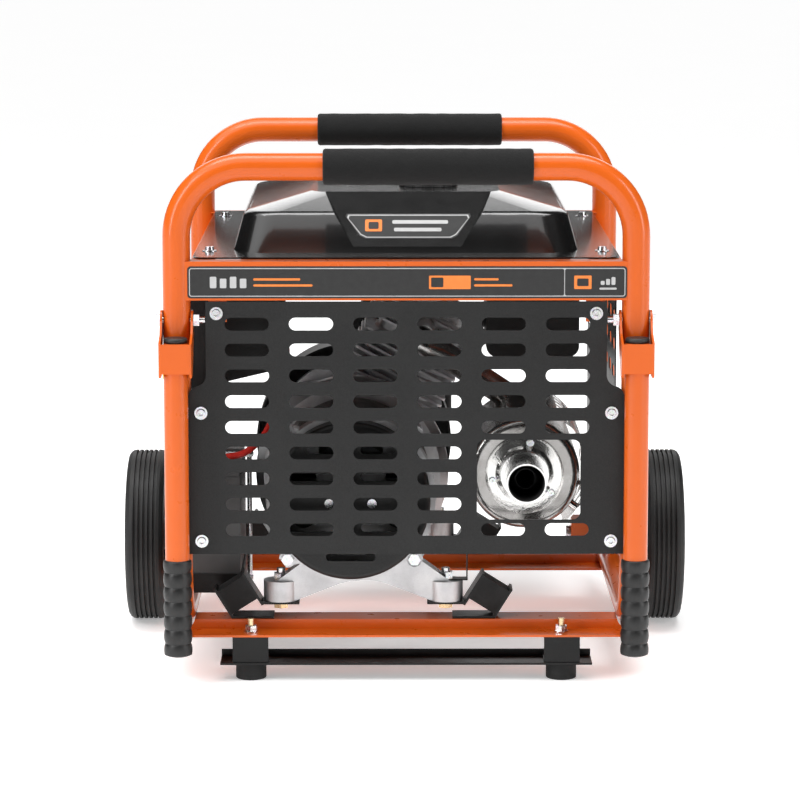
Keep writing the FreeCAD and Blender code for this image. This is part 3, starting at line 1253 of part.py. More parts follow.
button_r = 6.0
button_seat = V(face_x, box_y0 + 34, box_z0 + 16)
key_seat = V(face_x, box_y1 - 80, mid_z)
bush = washer(button_r + 3, button_r + run_gap + 0.3, button_seat, button_seat - X * 16)
barrel_lock = washer(button_r + 7, button_r + run_gap, key_seat, key_seat - X * 9)
save("switch_bushes", bush, barrel_lock)
button = rod(button_r, button_seat - X * 6, button_seat - X * 25)
button = rounded_edges(button, 1.5, lambda e: is_round(e) and abs(e.CenterOfMass.x - face_x + 25) < 0.01)
save("breaker_button", button)
y, z = key_seat.y, key_seat.z
key = fused(rod(button_r, key_seat - X * 1.0, key_seat - X * 10),
            span(face_x - 10, face_x - 14, y - 3.5, y + 3.5, z - 1.2, z + 1.2),
            span(face_x - 14, face_x - 34, y - 11, y + 11, z - 1.5, z + 1.5))
save("ignition_key", key)

print(len(nodes), "nodes")
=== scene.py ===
import math
import bpy
import bmesh
from mathutils import Matrix, Vector, noise


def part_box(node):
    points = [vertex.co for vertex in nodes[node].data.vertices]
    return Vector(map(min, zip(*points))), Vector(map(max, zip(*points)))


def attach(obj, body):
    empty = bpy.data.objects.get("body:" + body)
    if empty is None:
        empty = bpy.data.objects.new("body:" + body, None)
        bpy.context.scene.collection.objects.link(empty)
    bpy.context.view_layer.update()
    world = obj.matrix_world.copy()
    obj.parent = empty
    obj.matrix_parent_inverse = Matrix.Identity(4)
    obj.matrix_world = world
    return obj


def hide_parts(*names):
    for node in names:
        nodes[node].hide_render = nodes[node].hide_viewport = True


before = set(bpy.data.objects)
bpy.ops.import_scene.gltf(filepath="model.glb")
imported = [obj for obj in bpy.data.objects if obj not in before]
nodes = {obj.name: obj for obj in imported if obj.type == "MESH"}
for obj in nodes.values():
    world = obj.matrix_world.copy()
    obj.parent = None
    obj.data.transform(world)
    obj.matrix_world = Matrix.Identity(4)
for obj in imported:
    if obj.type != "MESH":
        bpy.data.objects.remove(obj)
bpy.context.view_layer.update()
print("frame loaded,", len(nodes), "nodes")

outletAxis = {"x": 0.1385, "z": 0.2415, "boreRadius": 0.0213}

studio = {
    "cameraPlace": (-0.0247, -4.3321, 0.9361),
    "cameraTilt": (math.radians(81.526), 0.0, -0.0043),
    "lens": 158.78,
    "farthest": 200.0,
    "worldStrength": 0.34,
    "sunStrength": 2.3,
    "sunSpread": math.radians(70),
    "sunTilt": (math.radians(12), math.radians(-14), 0),
    # name, place, what it points at, width and height, power
    "panels": (("leftPanel", (-2.4, -1.9, 1.5), (0, 0, 0.3), (0.6, 2.4), 48),
               ("rightPanel", (2.5, -1.5, 1.3), (0, 0, 0.3), (0.5, 2.2), 34),
               ("topPanel", (0.0, -0.2, 2.6), (0, 0, 0.4), (2.6, 0.7), 40),
               ("backPanel", (0.0, 3.2, 1.9), (0, 0, 0.5), (3.6, 1.6), 36)),
    "floorGlow": 0.34,
    "floorTone": 0.96,
    "floorReach": 60,
}


class Wire:
    # a shader socket that takes part in Python sums
    def __init__(self, tree, socket):
        self.tree = tree
        self.socket = socket

    def calc(self, kind, first, second=None):
        node = self.tree.nodes.new("ShaderNodeMath")
        node.operation = kind
        for slotIndex, value in enumerate((first, second)):
            if isinstance(value, Wire):
                self.tree.links.new(value.socket, node.inputs[slotIndex])
            elif value is not None:
                node.inputs[slotIndex].default_value = value
        return Wire(self.tree, node.outputs[0])

    def __add__(self, other):
        return self.calc("ADD", self, other)

    def __radd__(self, other):
        return self.calc("ADD", other, self)

    def __sub__(self, other):
        return self.calc("SUBTRACT", self, other)

    def __rsub__(self, other):
        return self.calc("SUBTRACT", other, self)

    def __mul__(self, other):
        return self.calc("MULTIPLY", self, other)

    def __rmul__(self, other):
        return self.calc("MULTIPLY", other, self)

    def __pow__(self, other):
        return self.calc("POWER", self, other)

    def __gt__(self, other):
        return self.calc("GREATER_THAN", self, other)

    def __lt__(self, other):
        return self.calc("LESS_THAN", self, other)

    def sine(self):
        return self.calc("SINE", self)


class Finish:
    # a material under construction, read in object coordinates
    def __init__(self, name, **constants):
        self.material = bpy.data.materials.new(name)
        self.material.use_nodes = True
        self.tree = self.material.node_tree
        self.shader = self.tree.nodes["Principled BSDF"]
        for label, value in constants.items():
            self.shader.inputs[label.replace("_", " ")].default_value = value
        self.place = self.node("ShaderNodeTexCoord", output="Object")
        self.along = [self.node("ShaderNodeSeparateXYZ", values={0: self.place}, output=k) for k in range(3)]

    def node(self, kind, settings=None, values=None, output=0):
        made = self.tree.nodes.new(kind)
        for key, value in (settings or {}).items():
            if key == "stops":
                ramp = made.color_ramp
                ramp.elements[0].position = value[0][0]
                ramp.elements[0].color = tone(value[0][1])
                ramp.elements[1].position = value[-1][0]
                ramp.elements[1].color = tone(value[-1][1])
                for spot, colour in value[1:-1]:
                    ramp.elements.new(spot).color = tone(colour)
            else:
                setattr(made, key, value)
        for key, value in (values or {}).items():
            if isinstance(value, Wire):
                self.tree.links.new(value.socket, made.inputs[key])
            else:
                made.inputs[key].default_value = value
        return Wire(self.tree, made.outputs[output])

    def grain(self, scale, detail=3.0, rough=0.55, place=None):
        return self.node("ShaderNodeTexNoise", values={
            "Vector": place or self.place, "Scale": scale, "Detail": detail, "Roughness": rough})

    def stretched(self, scaling):
        return self.node("ShaderNodeMapping", values={"Vector": self.place, "Scale": scaling})

    def ramp(self, wire, *stops):
        return self.node("ShaderNodeValToRGB", {"stops": stops}, {"Fac": wire}, "Color")

    def level(self, wire, low, high):
        # stretches 0..1 to low..high
        return wire * (high - low) + low

    def mix(self, factor, first, second):
        return self.node("ShaderNodeMix", {"data_type": "RGBA"}, {
            0: factor, 6: first if isinstance(first, Wire) else tone(first),
            7: second if isinstance(second, Wire) else tone(second)}, 2)

    def feed(self, label, wire):
        self.tree.links.new(wire.socket, self.shader.inputs[label])

    def relief(self, height, distance, strength=1.0):
        bump = self.node("ShaderNodeBump", values={
            "Height": height, "Distance": distance, "Strength": strength}, output="Normal")
        self.feed("Normal", bump)

    def dust(self, colour, dustTone, amount, scale=9.0):
        # a thin uneven film that lies in patches
        patch = self.grain(scale, 6.0, 0.62)
        mask = self.ramp(patch, (0.48, 0.0), (0.72, 1.0)) * amount
        return self.mix(mask, colour, dustTone)


def tone(value):
    if isinstance(value, (int, float)):
        return (value, value, value, 1.0)
    return (value[0], value[1], value[2], 1.0)


# finishes

def orangePaint():
    f = Finish("orangePaint", Coat_Roughness=0.1, Coat_IOR=1.38, IOR=1.34)
    flow = f.grain(5.0, 3.0)
    speck = f.grain(1500.0, 2.0)
    colour = f.ramp(flow, (0.25, (0.6, 0.1, 0.008)), (0.75, (0.65, 0.112, 0.01)))
    f.feed("Base Color", f.mix(f.ramp(speck, (0.62, 0.0), (0.75, 1.0)) * 0.1, colour, (0.55, 0.06, 0.008)))
    f.feed("Roughness", f.level(f.grain(60.0, 3.0), 0.24, 0.34))
    f.feed("Coat Weight", f.level(flow, 0.3, 0.45))
    f.relief(f.grain(420.0, 2.0) * 0.7 + speck * 0.3, 0.00012, 0.4)
    return f.material


def blackSheet():
    f = Finish("blackSheet", IOR=1.37)
    powder = f.grain(900.0, 3.0)
    flow = f.grain(11.0, 5.0)
    colour = f.ramp(powder, (0.35, 0.009), (0.65, 0.015))
    f.feed("Base Color", f.dust(colour, 0.023, 0.35))
    f.feed("Roughness", f.level(flow, 0.36, 0.5))
    f.relief(powder, 0.0003, 0.5)
    return f.material


def blackPowder():
    f = Finish("blackPowder", IOR=1.36)
    powder = f.grain(1100.0, 3.0)
    colour = f.ramp(powder, (0.3, 0.003), (0.7, 0.007))
    f.feed("Base Color", f.dust(colour, 0.014, 0.4, 14.0))
    f.feed("Roughness", f.level(f.grain(24.0), 0.26, 0.42))
    f.relief(powder, 0.0003, 0.6)
    return f.material


def tankBlack():
    f = Finish("tankBlack", Coat_Roughness=0.09, IOR=1.4)
    flow = f.grain(5.0, 5.0)
    colour = f.ramp(flow, (0.3, 0.003), (0.7, 0.006))
    f.feed("Base Color", f.dust(colour, 0.012, 0.25))
    f.feed("Roughness", f.level(f.grain(46.0, 4.0), 0.2, 0.3))
    f.feed("Coat Weight", f.level(flow, 0.65, 0.85))
    f.relief(f.grain(300.0, 2.0), 0.00018, 0.4)
    return f.material


def foamRubber():
    f = Finish("foamRubber", IOR=1.25, Sheen_Weight=0.08, Sheen_Roughness=0.5)
    cells = f.node("ShaderNodeTexVoronoi", values={"Vector": f.place, "Scale": 900.0}, output="Distance")
    pores = f.grain(2200.0, 2.0)
    colour = f.ramp(cells, (0.1, 0.006), (0.6, 0.013))
    f.feed("Base Color", f.mix(f.ramp(pores, (0.5, 0.0), (0.7, 1.0)) * 0.5, colour, 0.02))
    f.feed("Roughness", f.level(f.grain(40.0), 0.88, 0.98))
    f.relief(cells * 0.6 + pores * 0.4 + f.grain(90.0) * 0.5, 0.0012, 0.7)
    return f.material


def gripRubber():
    f = Finish("gripRubber", IOR=1.46)
    colour = f.ramp(f.grain(18.0, 5.0), (0.35, 0.007), (0.7, 0.012))
    f.feed("Base Color", f.dust(colour, 0.025, 0.3, 30.0))
    f.feed("Roughness", f.level(f.grain(70.0), 0.34, 0.5))
    f.relief(f.grain(800.0, 2.0), 0.0003, 0.5)
    return f.material


def footRubber():
    f = Finish("footRubber", IOR=1.38)
    f.feed("Base Color", f.dust(f.ramp(f.grain(30.0), (0.3, 0.005), (0.7, 0.01)), 0.03, 0.35, 40.0))
    f.feed("Roughness", f.level(f.grain(90.0), 0.5, 0.7))
    f.relief(f.grain(700.0, 3.0), 0.0004, 0.6)
    return f.material


def tyreRubber():
    f = Finish("tyreRubber", IOR=1.42)
    colour = f.ramp(f.grain(26.0, 6.0), (0.3, 0.007), (0.7, 0.013))
    dusty = f.dust(colour, (0.026, 0.024, 0.021), 0.45, 34.0)
    f.feed("Base Color", dusty)
    f.feed("Roughness", f.level(f.grain(55.0), 0.46, 0.66))
    f.relief(f.grain(420.0, 4.0), 0.0006, 0.6)
    return f.material


def zincSteel():
    f = Finish("zincSteel", Metallic=1.0)
    spangle = f.node("ShaderNodeTexVoronoi", values={"Vector": f.place, "Scale": 420.0}, output="Color")
    colour = f.mix(0.12, f.ramp(f.grain(240.0), (0.3, (0.62, 0.63, 0.65)), (0.7, (0.8, 0.8, 0.81))), spangle)
    height = f.along[2]
    # the nuts of the feet are passivated yellow
    nutLow, nutHigh = 0.0626, 0.084
    yellowed = (height > nutLow) * (height < nutHigh)
    f.feed("Base Color", f.mix(yellowed * 0.75, colour, (0.72, 0.5, 0.2)))
    f.feed("Roughness", f.level(f.grain(120.0), 0.18, 0.36))
    f.relief(f.grain(900.0, 2.0), 0.0002, 0.5)
    return f.material


def castAlloy():
    f = Finish("castAlloy", Metallic=0.9)
    sand = f.grain(520.0, 4.0, 0.7)
    patch = f.grain(28.0, 5.0)
    colour = f.ramp(patch, (0.3, (0.5, 0.5, 0.51)), (0.5, (0.62, 0.62, 0.63)), (0.75, (0.71, 0.71, 0.71)))
    f.feed("Base Color", f.mix(f.ramp(sand, (0.55, 0.0), (0.8, 1.0)) * 0.35, colour, (0.4, 0.39, 0.38)))
    f.feed("Roughness", f.level(sand, 0.36, 0.56))
    f.relief(sand * 0.7 + patch * 0.3, 0.0007, 0.6)
    return f.material


def laminations():
    f = Finish("laminations", Metallic=0.85)
    sheetPitch = 0.0012
    lines = (f.along[1] * (2 * math.pi / sheetPitch)).sine()
    colour = f.ramp(f.grain(80.0, 4.0), (0.3, (0.16, 0.15, 0.14)), (0.7, (0.3, 0.29, 0.28)))
    f.feed("Base Color", f.mix((lines > 0.55) * 0.5, colour, 0.06))
    f.feed("Roughness", f.level(f.grain(200.0), 0.4, 0.62))
    f.relief(lines, 0.0003, 0.6)
    return f.material


def polishedSteel():
    f = Finish("polishedSteel", Metallic=1.0)
    swirl = f.grain(70.0, 5.0, 0.6, f.stretched((1.0, 6.0, 1.0)))
    colour = f.ramp(swirl, (0.3, (0.72, 0.71, 0.69)), (0.7, (0.88, 0.87, 0.86)))
    blued = f.ramp(f.grain(14.0, 3.0), (0.52, 0.0), (0.75, 1.0)) * 0.22
    f.feed("Base Color", f.mix(blued, colour, (0.62, 0.5, 0.33)))
    f.feed("Roughness", f.level(swirl, 0.07, 0.2))
    f.relief(f.grain(36.0, 2.0), 0.0009, 0.35)
    return f.material


def outletSteel():
    # bright outside, with painted shade in the bore: dark, dull and not metallic
    f = Finish("outletSteel")
    across = f.along[0] - outletAxis["x"]
    up = f.along[2] - outletAxis["z"]
    radius = (across * across + up * up) ** 0.5
    # painted shade: everything inside the bore radius is made dark, dull and less metallic
    paintedBoreShade = radius < outletAxis["boreRadius"]
    rings = f.grain(60.0, 4.0, 0.6, f.stretched((1.0, 30.0, 1.0)))
    colour = f.ramp(rings, (0.3, (0.7, 0.7, 0.69)), (0.7, (0.88, 0.87, 0.86)))
    f.feed("Base Color", f.mix(paintedBoreShade, colour, f.ramp(f.grain(300.0), (0.3, 0.006), (0.7, 0.02))))
    f.feed("Metallic", 1.0 - paintedBoreShade * 0.9)
    f.feed("Roughness", paintedBoreShade * 0.7 + f.level(rings, 0.08, 0.2))
    f.relief(f.grain(260.0, 2.0), 0.0003, 0.4)
    return f.material


def mufflerSteel():
    f = Finish("mufflerSteel", Metallic=0.9)
    heat = f.grain(16.0, 5.0, 0.6)
    colour = f.ramp(heat, (0.25, (0.2, 0.19, 0.18)), (0.5, (0.36, 0.35, 0.34)), (0.75, (0.5, 0.49, 0.48)))
    f.feed("Base Color", colour)
    f.feed("Roughness", f.level(f.grain(150.0), 0.14, 0.3))
    f.relief(f.grain(400.0, 4.0), 0.0003, 0.4)
    return f.material


def blackPlastic():
    f = Finish("blackPlastic", IOR=1.46)
    leather = f.node("ShaderNodeTexVoronoi", values={"Vector": f.place, "Scale": 1300.0}, output="Distance")
    f.feed("Base Color", f.dust(f.ramp(leather, (0.2, 0.012), (0.6, 0.02)), 0.045, 0.25, 16.0))
    f.feed("Roughness", f.level(f.grain(60.0), 0.38, 0.52))
    f.relief(leather, 0.0003, 0.6)
    return f.material


def batteryCase():
    f = Finish("batteryCase", IOR=1.46)
    grain = f.grain(800.0, 3.0)
    flow = f.grain(12.0, 4.0)
    f.feed("Base Color", f.dust(f.ramp(flow, (0.3, 0.036), (0.7, 0.055)), 0.1, 0.3))
    f.feed("Roughness", f.level(grain, 0.4, 0.56))
    f.relief(grain, 0.0003, 0.5)
    return f.material


def leadRubber():
    # the live lead is red, the earth lead black
    f = Finish("leadRubber", IOR=1.46)
    betweenLeads = -0.072
    split = f.along[1] > betweenLeads
    live = f.ramp(f.grain(40.0), (0.3, (0.5, 0.012, 0.008)), (0.7, (0.66, 0.03, 0.018)))
    earth = f.ramp(f.grain(40.0), (0.3, 0.012), (0.7, 0.026))
    f.feed("Base Color", f.mix(split, live, earth))
    f.feed("Roughness", f.level(f.grain(100.0), 0.34, 0.5))
    f.relief(f.grain(600.0, 3.0), 0.0003, 0.5)
    return f.material


def lidPlastic():
    f = Finish("lidPlastic", IOR=1.46)
    f.feed("Base Color", f.ramp(f.grain(30.0), (0.3, (0.012, 0.07, 0.34)), (0.7, (0.02, 0.1, 0.42))))
    f.feed("Roughness", f.level(f.grain(80.0), 0.28, 0.42))
    f.relief(f.grain(900.0, 2.0), 0.0002, 0.5)
    return f.material


def yellowPlastic():
    f = Finish("yellowPlastic", IOR=1.46)
    f.feed("Base Color", f.ramp(f.grain(60.0), (0.3, (0.78, 0.5, 0.02)), (0.7, (0.86, 0.58, 0.04))))
    f.feed("Roughness", f.level(f.grain(120.0), 0.3, 0.42))
    f.relief(f.grain(900.0, 2.0), 0.0002, 0.5)
    return f.material


def printFilm(name, colour, spread):
    # a printed film, a little uneven in ink and gloss
    f = Finish(name, IOR=1.48, Coat_Roughness=0.15)
    dark = tuple(c * (1 - spread) for c in tone(colour)[:3])
    f.feed("Base Color", f.ramp(f.grain(120.0, 4.0), (0.3, dark), (0.7, colour)))
    f.feed("Roughness", f.level(f.grain(30.0), 0.28, 0.42))
    f.relief(f.grain(500.0, 2.0), 0.0002, 0.35)
    return f.material


finishes = {
    "orange": orangePaint(),
    "sheet": blackSheet(),
    "powder": blackPowder(),
    "tank": tankBlack(),
    "foam": foamRubber(),
    "grip": gripRubber(),
    "foot": footRubber(),
    "tyre": tyreRubber(),
    "zinc": zincSteel(),
    "cast": castAlloy(),
    "lamination": laminations(),
    "polished": polishedSteel(),
    "outlet": outletSteel(),
    "muffler": mufflerSteel(),
    "plastic": blackPlastic(),
    "battery": batteryCase(),
    "lead": leadRubber(),
    "lid": lidPlastic(),
    "yellow": yellowPlastic(),
    "filmBlack": printFilm("filmBlack", 0.022, 0.25),
    "filmPale": printFilm("filmPale", 0.5, 0.1),
    "filmOrange": printFilm("filmOrange", (0.8, 0.22, 0.04), 0.1),
}
print("finishes made,", len(finishes))

finishOf = {
    "orange": ["front_hoop", "rear_hoop", "base_rails", "cross_members", "front_band", "rear_band",
               "upper_rails", "axle_brackets", "handle_left", "handle_right"],
    "sheet": ["grille_panel", "side_guard", "alternator_cover", "blower_housing", "recoil_cover",
              "control_box"],
    "powder": ["foot_bar", "battery_tray", "mount_brackets", "hub_left", "hub_right"],
    "muffler": ["muffler"],
    "tank": ["fuel_tank"],
    "foam": ["foam_sleeves"],
    "grip": ["grip_left", "grip_right"],
    "foot": ["rubber_feet", "rubber_mounts"],
    "tyre": ["tyre_left", "tyre_right"],
    "zinc": ["panel_screws", "foot_bolts", "wheel_axles", "pivot_bolts", "battery_clamp", "machine_bolts"],
    "cast": ["alternator_end_bracket", "crankcase", "cylinder", "cylinder_head", "rocker_cover",
             "carburettor", "flywheel", "rotor", "crankshaft"],
    "lamination": ["stator"],
    "polished": ["muffler_shield"],
    "outlet": ["exhaust_outlet"],
    "plastic": ["recoil_grip", "air_cleaner", "fuel_cap", "alternator_fan", "socket_plate_fittings",
                "switch_bushes", "ignition_key"],
    "battery": ["battery"],
    "lead": ["battery_leads"],
    "lid": ["socket_lid_1", "socket_lid_2"],
    "yellow": ["breaker_button"],
}
for finishName, members in finishOf.items():
    for member in members:
        nodes[member].data.materials.clear()
        nodes[member].data.materials.append(finishes[finishName])
print("nodes finished")


# mesh helpers

def keep(name, mesh, body, *materials):
    piece = bpy.data.objects.new(name, mesh)
    bpy.context.scene.collection.objects.link(piece)
    for material in materials:
        mesh.materials.append(material)
    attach(piece, body)
    return piece


def turned(name, profile, axisPoint, axis, steps, body, material, wobble=0.0, wobbleScale=70.0):
    # a closed profile of (along, radius) pairs turned about an axis
    mesh = bpy.data.meshes.new(name)
    turnedMesh = bmesh.new()
    spin = axis.to_track_quat("Z", "Y").to_matrix().to_4x4()
    place = Matrix.Translation(axisPoint) @ spin
    rings = []
    for along, radius in profile:
        ring = []
        for k in range(steps):
            angle = 2 * math.pi * k / steps
            point = place @ Vector((radius * math.cos(angle), radius * math.sin(angle), along))
            if wobble:
                out = (point - place @ Vector((0, 0, along))).normalized()
                point += out * wobble * noise.noise(point * wobbleScale)
            ring.append(turnedMesh.verts.new(point))
        rings.append(ring)
    for i in range(len(rings)):
        here, there = rings[i], rings[(i + 1) % len(rings)]
        for k in range(steps):
            turnedMesh.faces.new((here[k], here[(k + 1) % steps], there[(k + 1) % steps], there[k]))
    bmesh.ops.remove_doubles(turnedMesh, verts=turnedMesh.verts, dist=1e-6)
    bmesh.ops.recalc_face_normals(turnedMesh, faces=turnedMesh.faces)
    turnedMesh.to_mesh(mesh)
    turnedMesh.free()
    mesh.shade_smooth()
    return keep(name, mesh, body, material)


def roundedOutline(x0, x1, z0, z1, radius, steps=6):
    points = []
    for cx, cz, start in ((x1 - radius, z0 + radius, -90), (x1 - radius, z1 - radius, 0),
                          (x0 + radius, z1 - radius, 90), (x0 + radius, z0 + radius, 180)):
        for k in range(steps + 1):
            angle = math.radians(start + 90 * k / steps)
            points.append((cx + radius * math.cos(angle), cz + radius * math.sin(angle)))
    return points


def filmPlate(name, outlines, toPoint, thick, body, *materials):
    # thin closed plates: each outline is (points, material index, lift)
    mesh = bpy.data.meshes.new(name)
    plates = bmesh.new()
    for points, index, lift in outlines:
        base = [plates.verts.new(toPoint(x, z, -lift)) for x, z in points]
        top = [plates.verts.new(toPoint(x, z, -lift - thick)) for x, z in points]
        count = len(points)
        made = [plates.faces.new(base), plates.faces.new(top[::-1])]
        for k in range(count):
            made.append(plates.faces.new((base[k], top[k], top[(k + 1) % count], base[(k + 1) % count])))
        for face in made:
            face.material_index = index
    bmesh.ops.recalc_face_normals(plates, faces=plates.faces)
    plates.to_mesh(mesh)
    plates.free()
    return keep(name, mesh, body, *materials)


# foam sleeves on the two top tubes

sleeve = {
    "tubeRadius": 0.0161,
    "outerRadius": 0.0209,
    "endRound": 0.0035,
    "endSteps": 6,
    "lip": (0.0004, 0.0006),
    "nodeRadius": 0.021,
    "wobble": 0.00035,
    "rings": 110,
    "steps": 72,
}


def foamProfile(x0, x1):
    outer, inner, r = sleeve["outerRadius"], sleeve["tubeRadius"], sleeve["endRound"]
    lipAlong, lipUp = sleeve["lip"]
    endSteps = sleeve["endSteps"]
    points = [(x0 + lipAlong, inner), (x0, inner + lipUp), (x0, outer - r)]
    for k in range(1, endSteps + 1):
        angle = math.radians(90 * k / endSteps)
        points.append((x0 + r - r * math.cos(angle), outer - r + r * math.sin(angle)))
    for k in range(1, sleeve["rings"]):
        points.append((x0 + r + (x1 - x0 - 2 * r) * k / sleeve["rings"], outer))
    for k in range(endSteps + 1):
        angle = math.radians(90 * (1 - k / endSteps))
        points.append((x1 - r + r * math.cos(angle), outer - r + r * math.sin(angle)))
    points += [(x1, inner + lipUp), (x1 - lipAlong, inner)]
    return points


sleeveLow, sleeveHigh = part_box("foam_sleeves")
sleeveRadius = sleeve["nodeRadius"]
sleeveZ = sleeveHigh.z - sleeveRadius
for side, middleY in (("Front", sleeveLow.y + sleeveRadius), ("Rear", sleeveHigh.y - sleeveRadius)):
    along = [v.co.x for v in nodes["foam_sleeves"].data.vertices if abs(v.co.y - middleY) < 2 * sleeveRadius]
    piece = turned("foamSleeve" + side, foamProfile(min(along), max(along)), Vector((0, middleY, sleeveZ)),
                   Vector((1, 0, 0)), sleeve["steps"], "frame", finishes["foam"], sleeve["wobble"])
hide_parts("foam_sleeves")
print("foam sleeves made")


# node trees that make repeated shapes

def newTree(name, inputs, output):
    tree = bpy.data.node_groups.new(name, "GeometryNodeTree")
    for label, kind in inputs:
        tree.interface.new_socket(label, in_out="INPUT", socket_type="NodeSocket" + kind)
    tree.interface.new_socket(output, in_out="OUTPUT", socket_type="NodeSocketGeometry")
    return tree


def addNode(tree, kind, settings=None, values=None):
    made = tree.nodes.new(kind)
    for key, value in (settings or {}).items():
        setattr(made, key, value)
    for key, value in (values or {}).items():
        if isinstance(value, bpy.types.NodeSocket):
            tree.links.new(value, made.inputs[key])
        else:
            made.inputs[key].default_value = value
    return made


def grown(tree, points, values, name):
    # runs a tree on a few loose points and gives the plain mesh back
    seed = bpy.data.meshes.new(name + "Points")
    seed.from_pydata(points, [], [])
    holder = bpy.data.objects.new(name + "Points", seed)
    modifier = holder.modifiers.new("shape", "NODES")
    modifier.node_group = tree
    for item in tree.interface.items_tree:
        if item.item_type == "SOCKET" and item.in_out == "INPUT" and item.name in values:
            modifier[item.identifier] = values[item.name]
    bpy.context.scene.collection.objects.link(holder)
    graph = bpy.context.evaluated_depsgraph_get()
    mesh = bpy.data.meshes.new_from_object(holder.evaluated_get(graph))
    bpy.data.objects.remove(holder)
    mesh.name = name
    return mesh


def screwTree():
    # a round flange with a tapered head that has a sunken drive
    sides = 40
    taper = 0.82
    facingUp = 0.9
    wellShare = -0.6
    tree = newTree("screwHeads", (
        ("Places", "Geometry"), ("Flange Radius", "Float"), ("Flange Depth", "Float"),
        ("Head Radius", "Float"), ("Head Depth", "Float"), ("Recess", "Float"),
        ("Turn", "Vector"), ("Finish", "Material")), "Heads")
    start = addNode(tree, "NodeGroupInput").outputs
    flange = addNode(tree, "GeometryNodeMeshCylinder", values={
        "Vertices": sides, "Radius": start["Flange Radius"], "Depth": start["Flange Depth"]})
    head = addNode(tree, "GeometryNodeMeshCone", values={
        "Vertices": sides, "Radius Bottom": start["Head Radius"], "Depth": start["Head Depth"]})
    narrow = addNode(tree, "ShaderNodeMath", {"operation": "MULTIPLY"}, {0: start["Head Radius"], 1: taper})
    tree.links.new(narrow.outputs[0], head.inputs["Radius Top"])
    facing = addNode(tree, "GeometryNodeInputNormal")
    upward = addNode(tree, "ShaderNodeSeparateXYZ", values={0: facing.outputs[0]})
    isTop = addNode(tree, "ShaderNodeMath", {"operation": "GREATER_THAN"},
                    {0: upward.outputs[2], 1: facingUp})
    rim = addNode(tree, "GeometryNodeExtrudeMesh", values={
        "Mesh": head.outputs["Mesh"], "Selection": isTop.outputs[0], "Offset Scale": 0.0})
    inset = addNode(tree, "GeometryNodeScaleElements", values={
        "Geometry": rim.outputs["Mesh"], "Selection": rim.outputs["Top"], "Scale": start["Recess"]})
    sunk = addNode(tree, "ShaderNodeMath", {"operation": "MULTIPLY"},
                   {0: start["Head Depth"], 1: wellShare})
    well = addNode(tree, "GeometryNodeExtrudeMesh", values={
        "Mesh": inset.outputs[0], "Selection": rim.outputs["Top"], "Offset Scale": sunk.outputs[0]})
    both = addNode(tree, "GeometryNodeJoinGeometry")
    tree.links.new(flange.outputs["Mesh"], both.inputs[0])
    tree.links.new(well.outputs["Mesh"], both.inputs[0])
    turnedHead = addNode(tree, "GeometryNodeTransform", values={
        "Geometry": both.outputs[0], "Rotation": start["Turn"]})
    spread = addNode(tree, "GeometryNodeInstanceOnPoints", values={
        "Points": start["Places"], "Instance": turnedHead.outputs[0]})
    real = addNode(tree, "GeometryNodeRealizeInstances", values={"Geometry": spread.outputs[0]})
    coloured = addNode(tree, "GeometryNodeSetMaterial", values={
        "Geometry": real.outputs[0], "Material": start["Finish"]})
    end = addNode(tree, "NodeGroupOutput")
    tree.links.new(coloured.outputs[0], end.inputs[0])
    return tree


def gripTree():
    # a sleeve whose radius swells into ribs along its length
    rings, sides = 240, 56
    ribSquareness = 0.5
    endSharpness, endCurve = 34.0, 0.35
    tree = newTree("ribbedGrip", (
        ("Places", "Geometry"), ("Length", "Float"), ("Groove Radius", "Float"),
        ("Rib Radius", "Float"), ("Ribs", "Float"), ("Finish", "Material")), "Grip")
    start = addNode(tree, "NodeGroupInput").outputs
    tip = addNode(tree, "ShaderNodeCombineXYZ", values={2: start["Length"]})
    line = addNode(tree, "GeometryNodeCurvePrimitiveLine", values={"End": tip.outputs[0]})
    fine = addNode(tree, "GeometryNodeResampleCurve", values={"Curve": line.outputs[0], "Count": rings})
    part = addNode(tree, "GeometryNodeSplineParameter").outputs["Factor"]

    def sums(kind, first, second=0.0):
        return addNode(tree, "ShaderNodeMath", {"operation": kind}, {0: first, 1: second}).outputs[0]

    wave = sums("ABSOLUTE", sums("SINE", sums("MULTIPLY", sums("MULTIPLY", part, start["Ribs"]), math.pi)))
    flatTop = sums("POWER", wave, ribSquareness)
    deep = sums("SUBTRACT", start["Rib Radius"], start["Groove Radius"])
    ribbed = sums("ADD", sums("MULTIPLY", flatTop, deep), start["Groove Radius"])
    # both ends are rounded over the last few millimetres
    ends = sums("MINIMUM", part, sums("SUBTRACT", 1.0, part))
    closing = sums("POWER", sums("MINIMUM", sums("MULTIPLY", ends, endSharpness), 1.0), endCurve)
    radius = sums("MULTIPLY", ribbed, closing)
    ring = addNode(tree, "GeometryNodeCurvePrimitiveCircle", values={"Resolution": sides, "Radius": 1.0})
    sized = addNode(tree, "GeometryNodeSetCurveRadius", values={"Curve": fine.outputs[0], "Radius": radius})
    skin = addNode(tree, "GeometryNodeCurveToMesh", values={
        "Curve": sized.outputs[0], "Profile Curve": ring.outputs[0], "Scale": radius, "Fill Caps": True})
    smooth = addNode(tree, "GeometryNodeSetShadeSmooth", values={0: skin.outputs[0]})
    spread = addNode(tree, "GeometryNodeInstanceOnPoints", values={
        "Points": start["Places"], "Instance": smooth.outputs[0]})
    real = addNode(tree, "GeometryNodeRealizeInstances", values={"Geometry": spread.outputs[0]})
    coloured = addNode(tree, "GeometryNodeSetMaterial", values={
        "Geometry": real.outputs[0], "Material": start["Finish"]})
    end = addNode(tree, "NodeGroupOutput")
    tree.links.new(coloured.outputs[0], end.inputs[0])
    return tree


grip = {"grooveRadius": 0.0145, "ribRadius": 0.0166, "ribs": 7.0, "length": 0.1175}
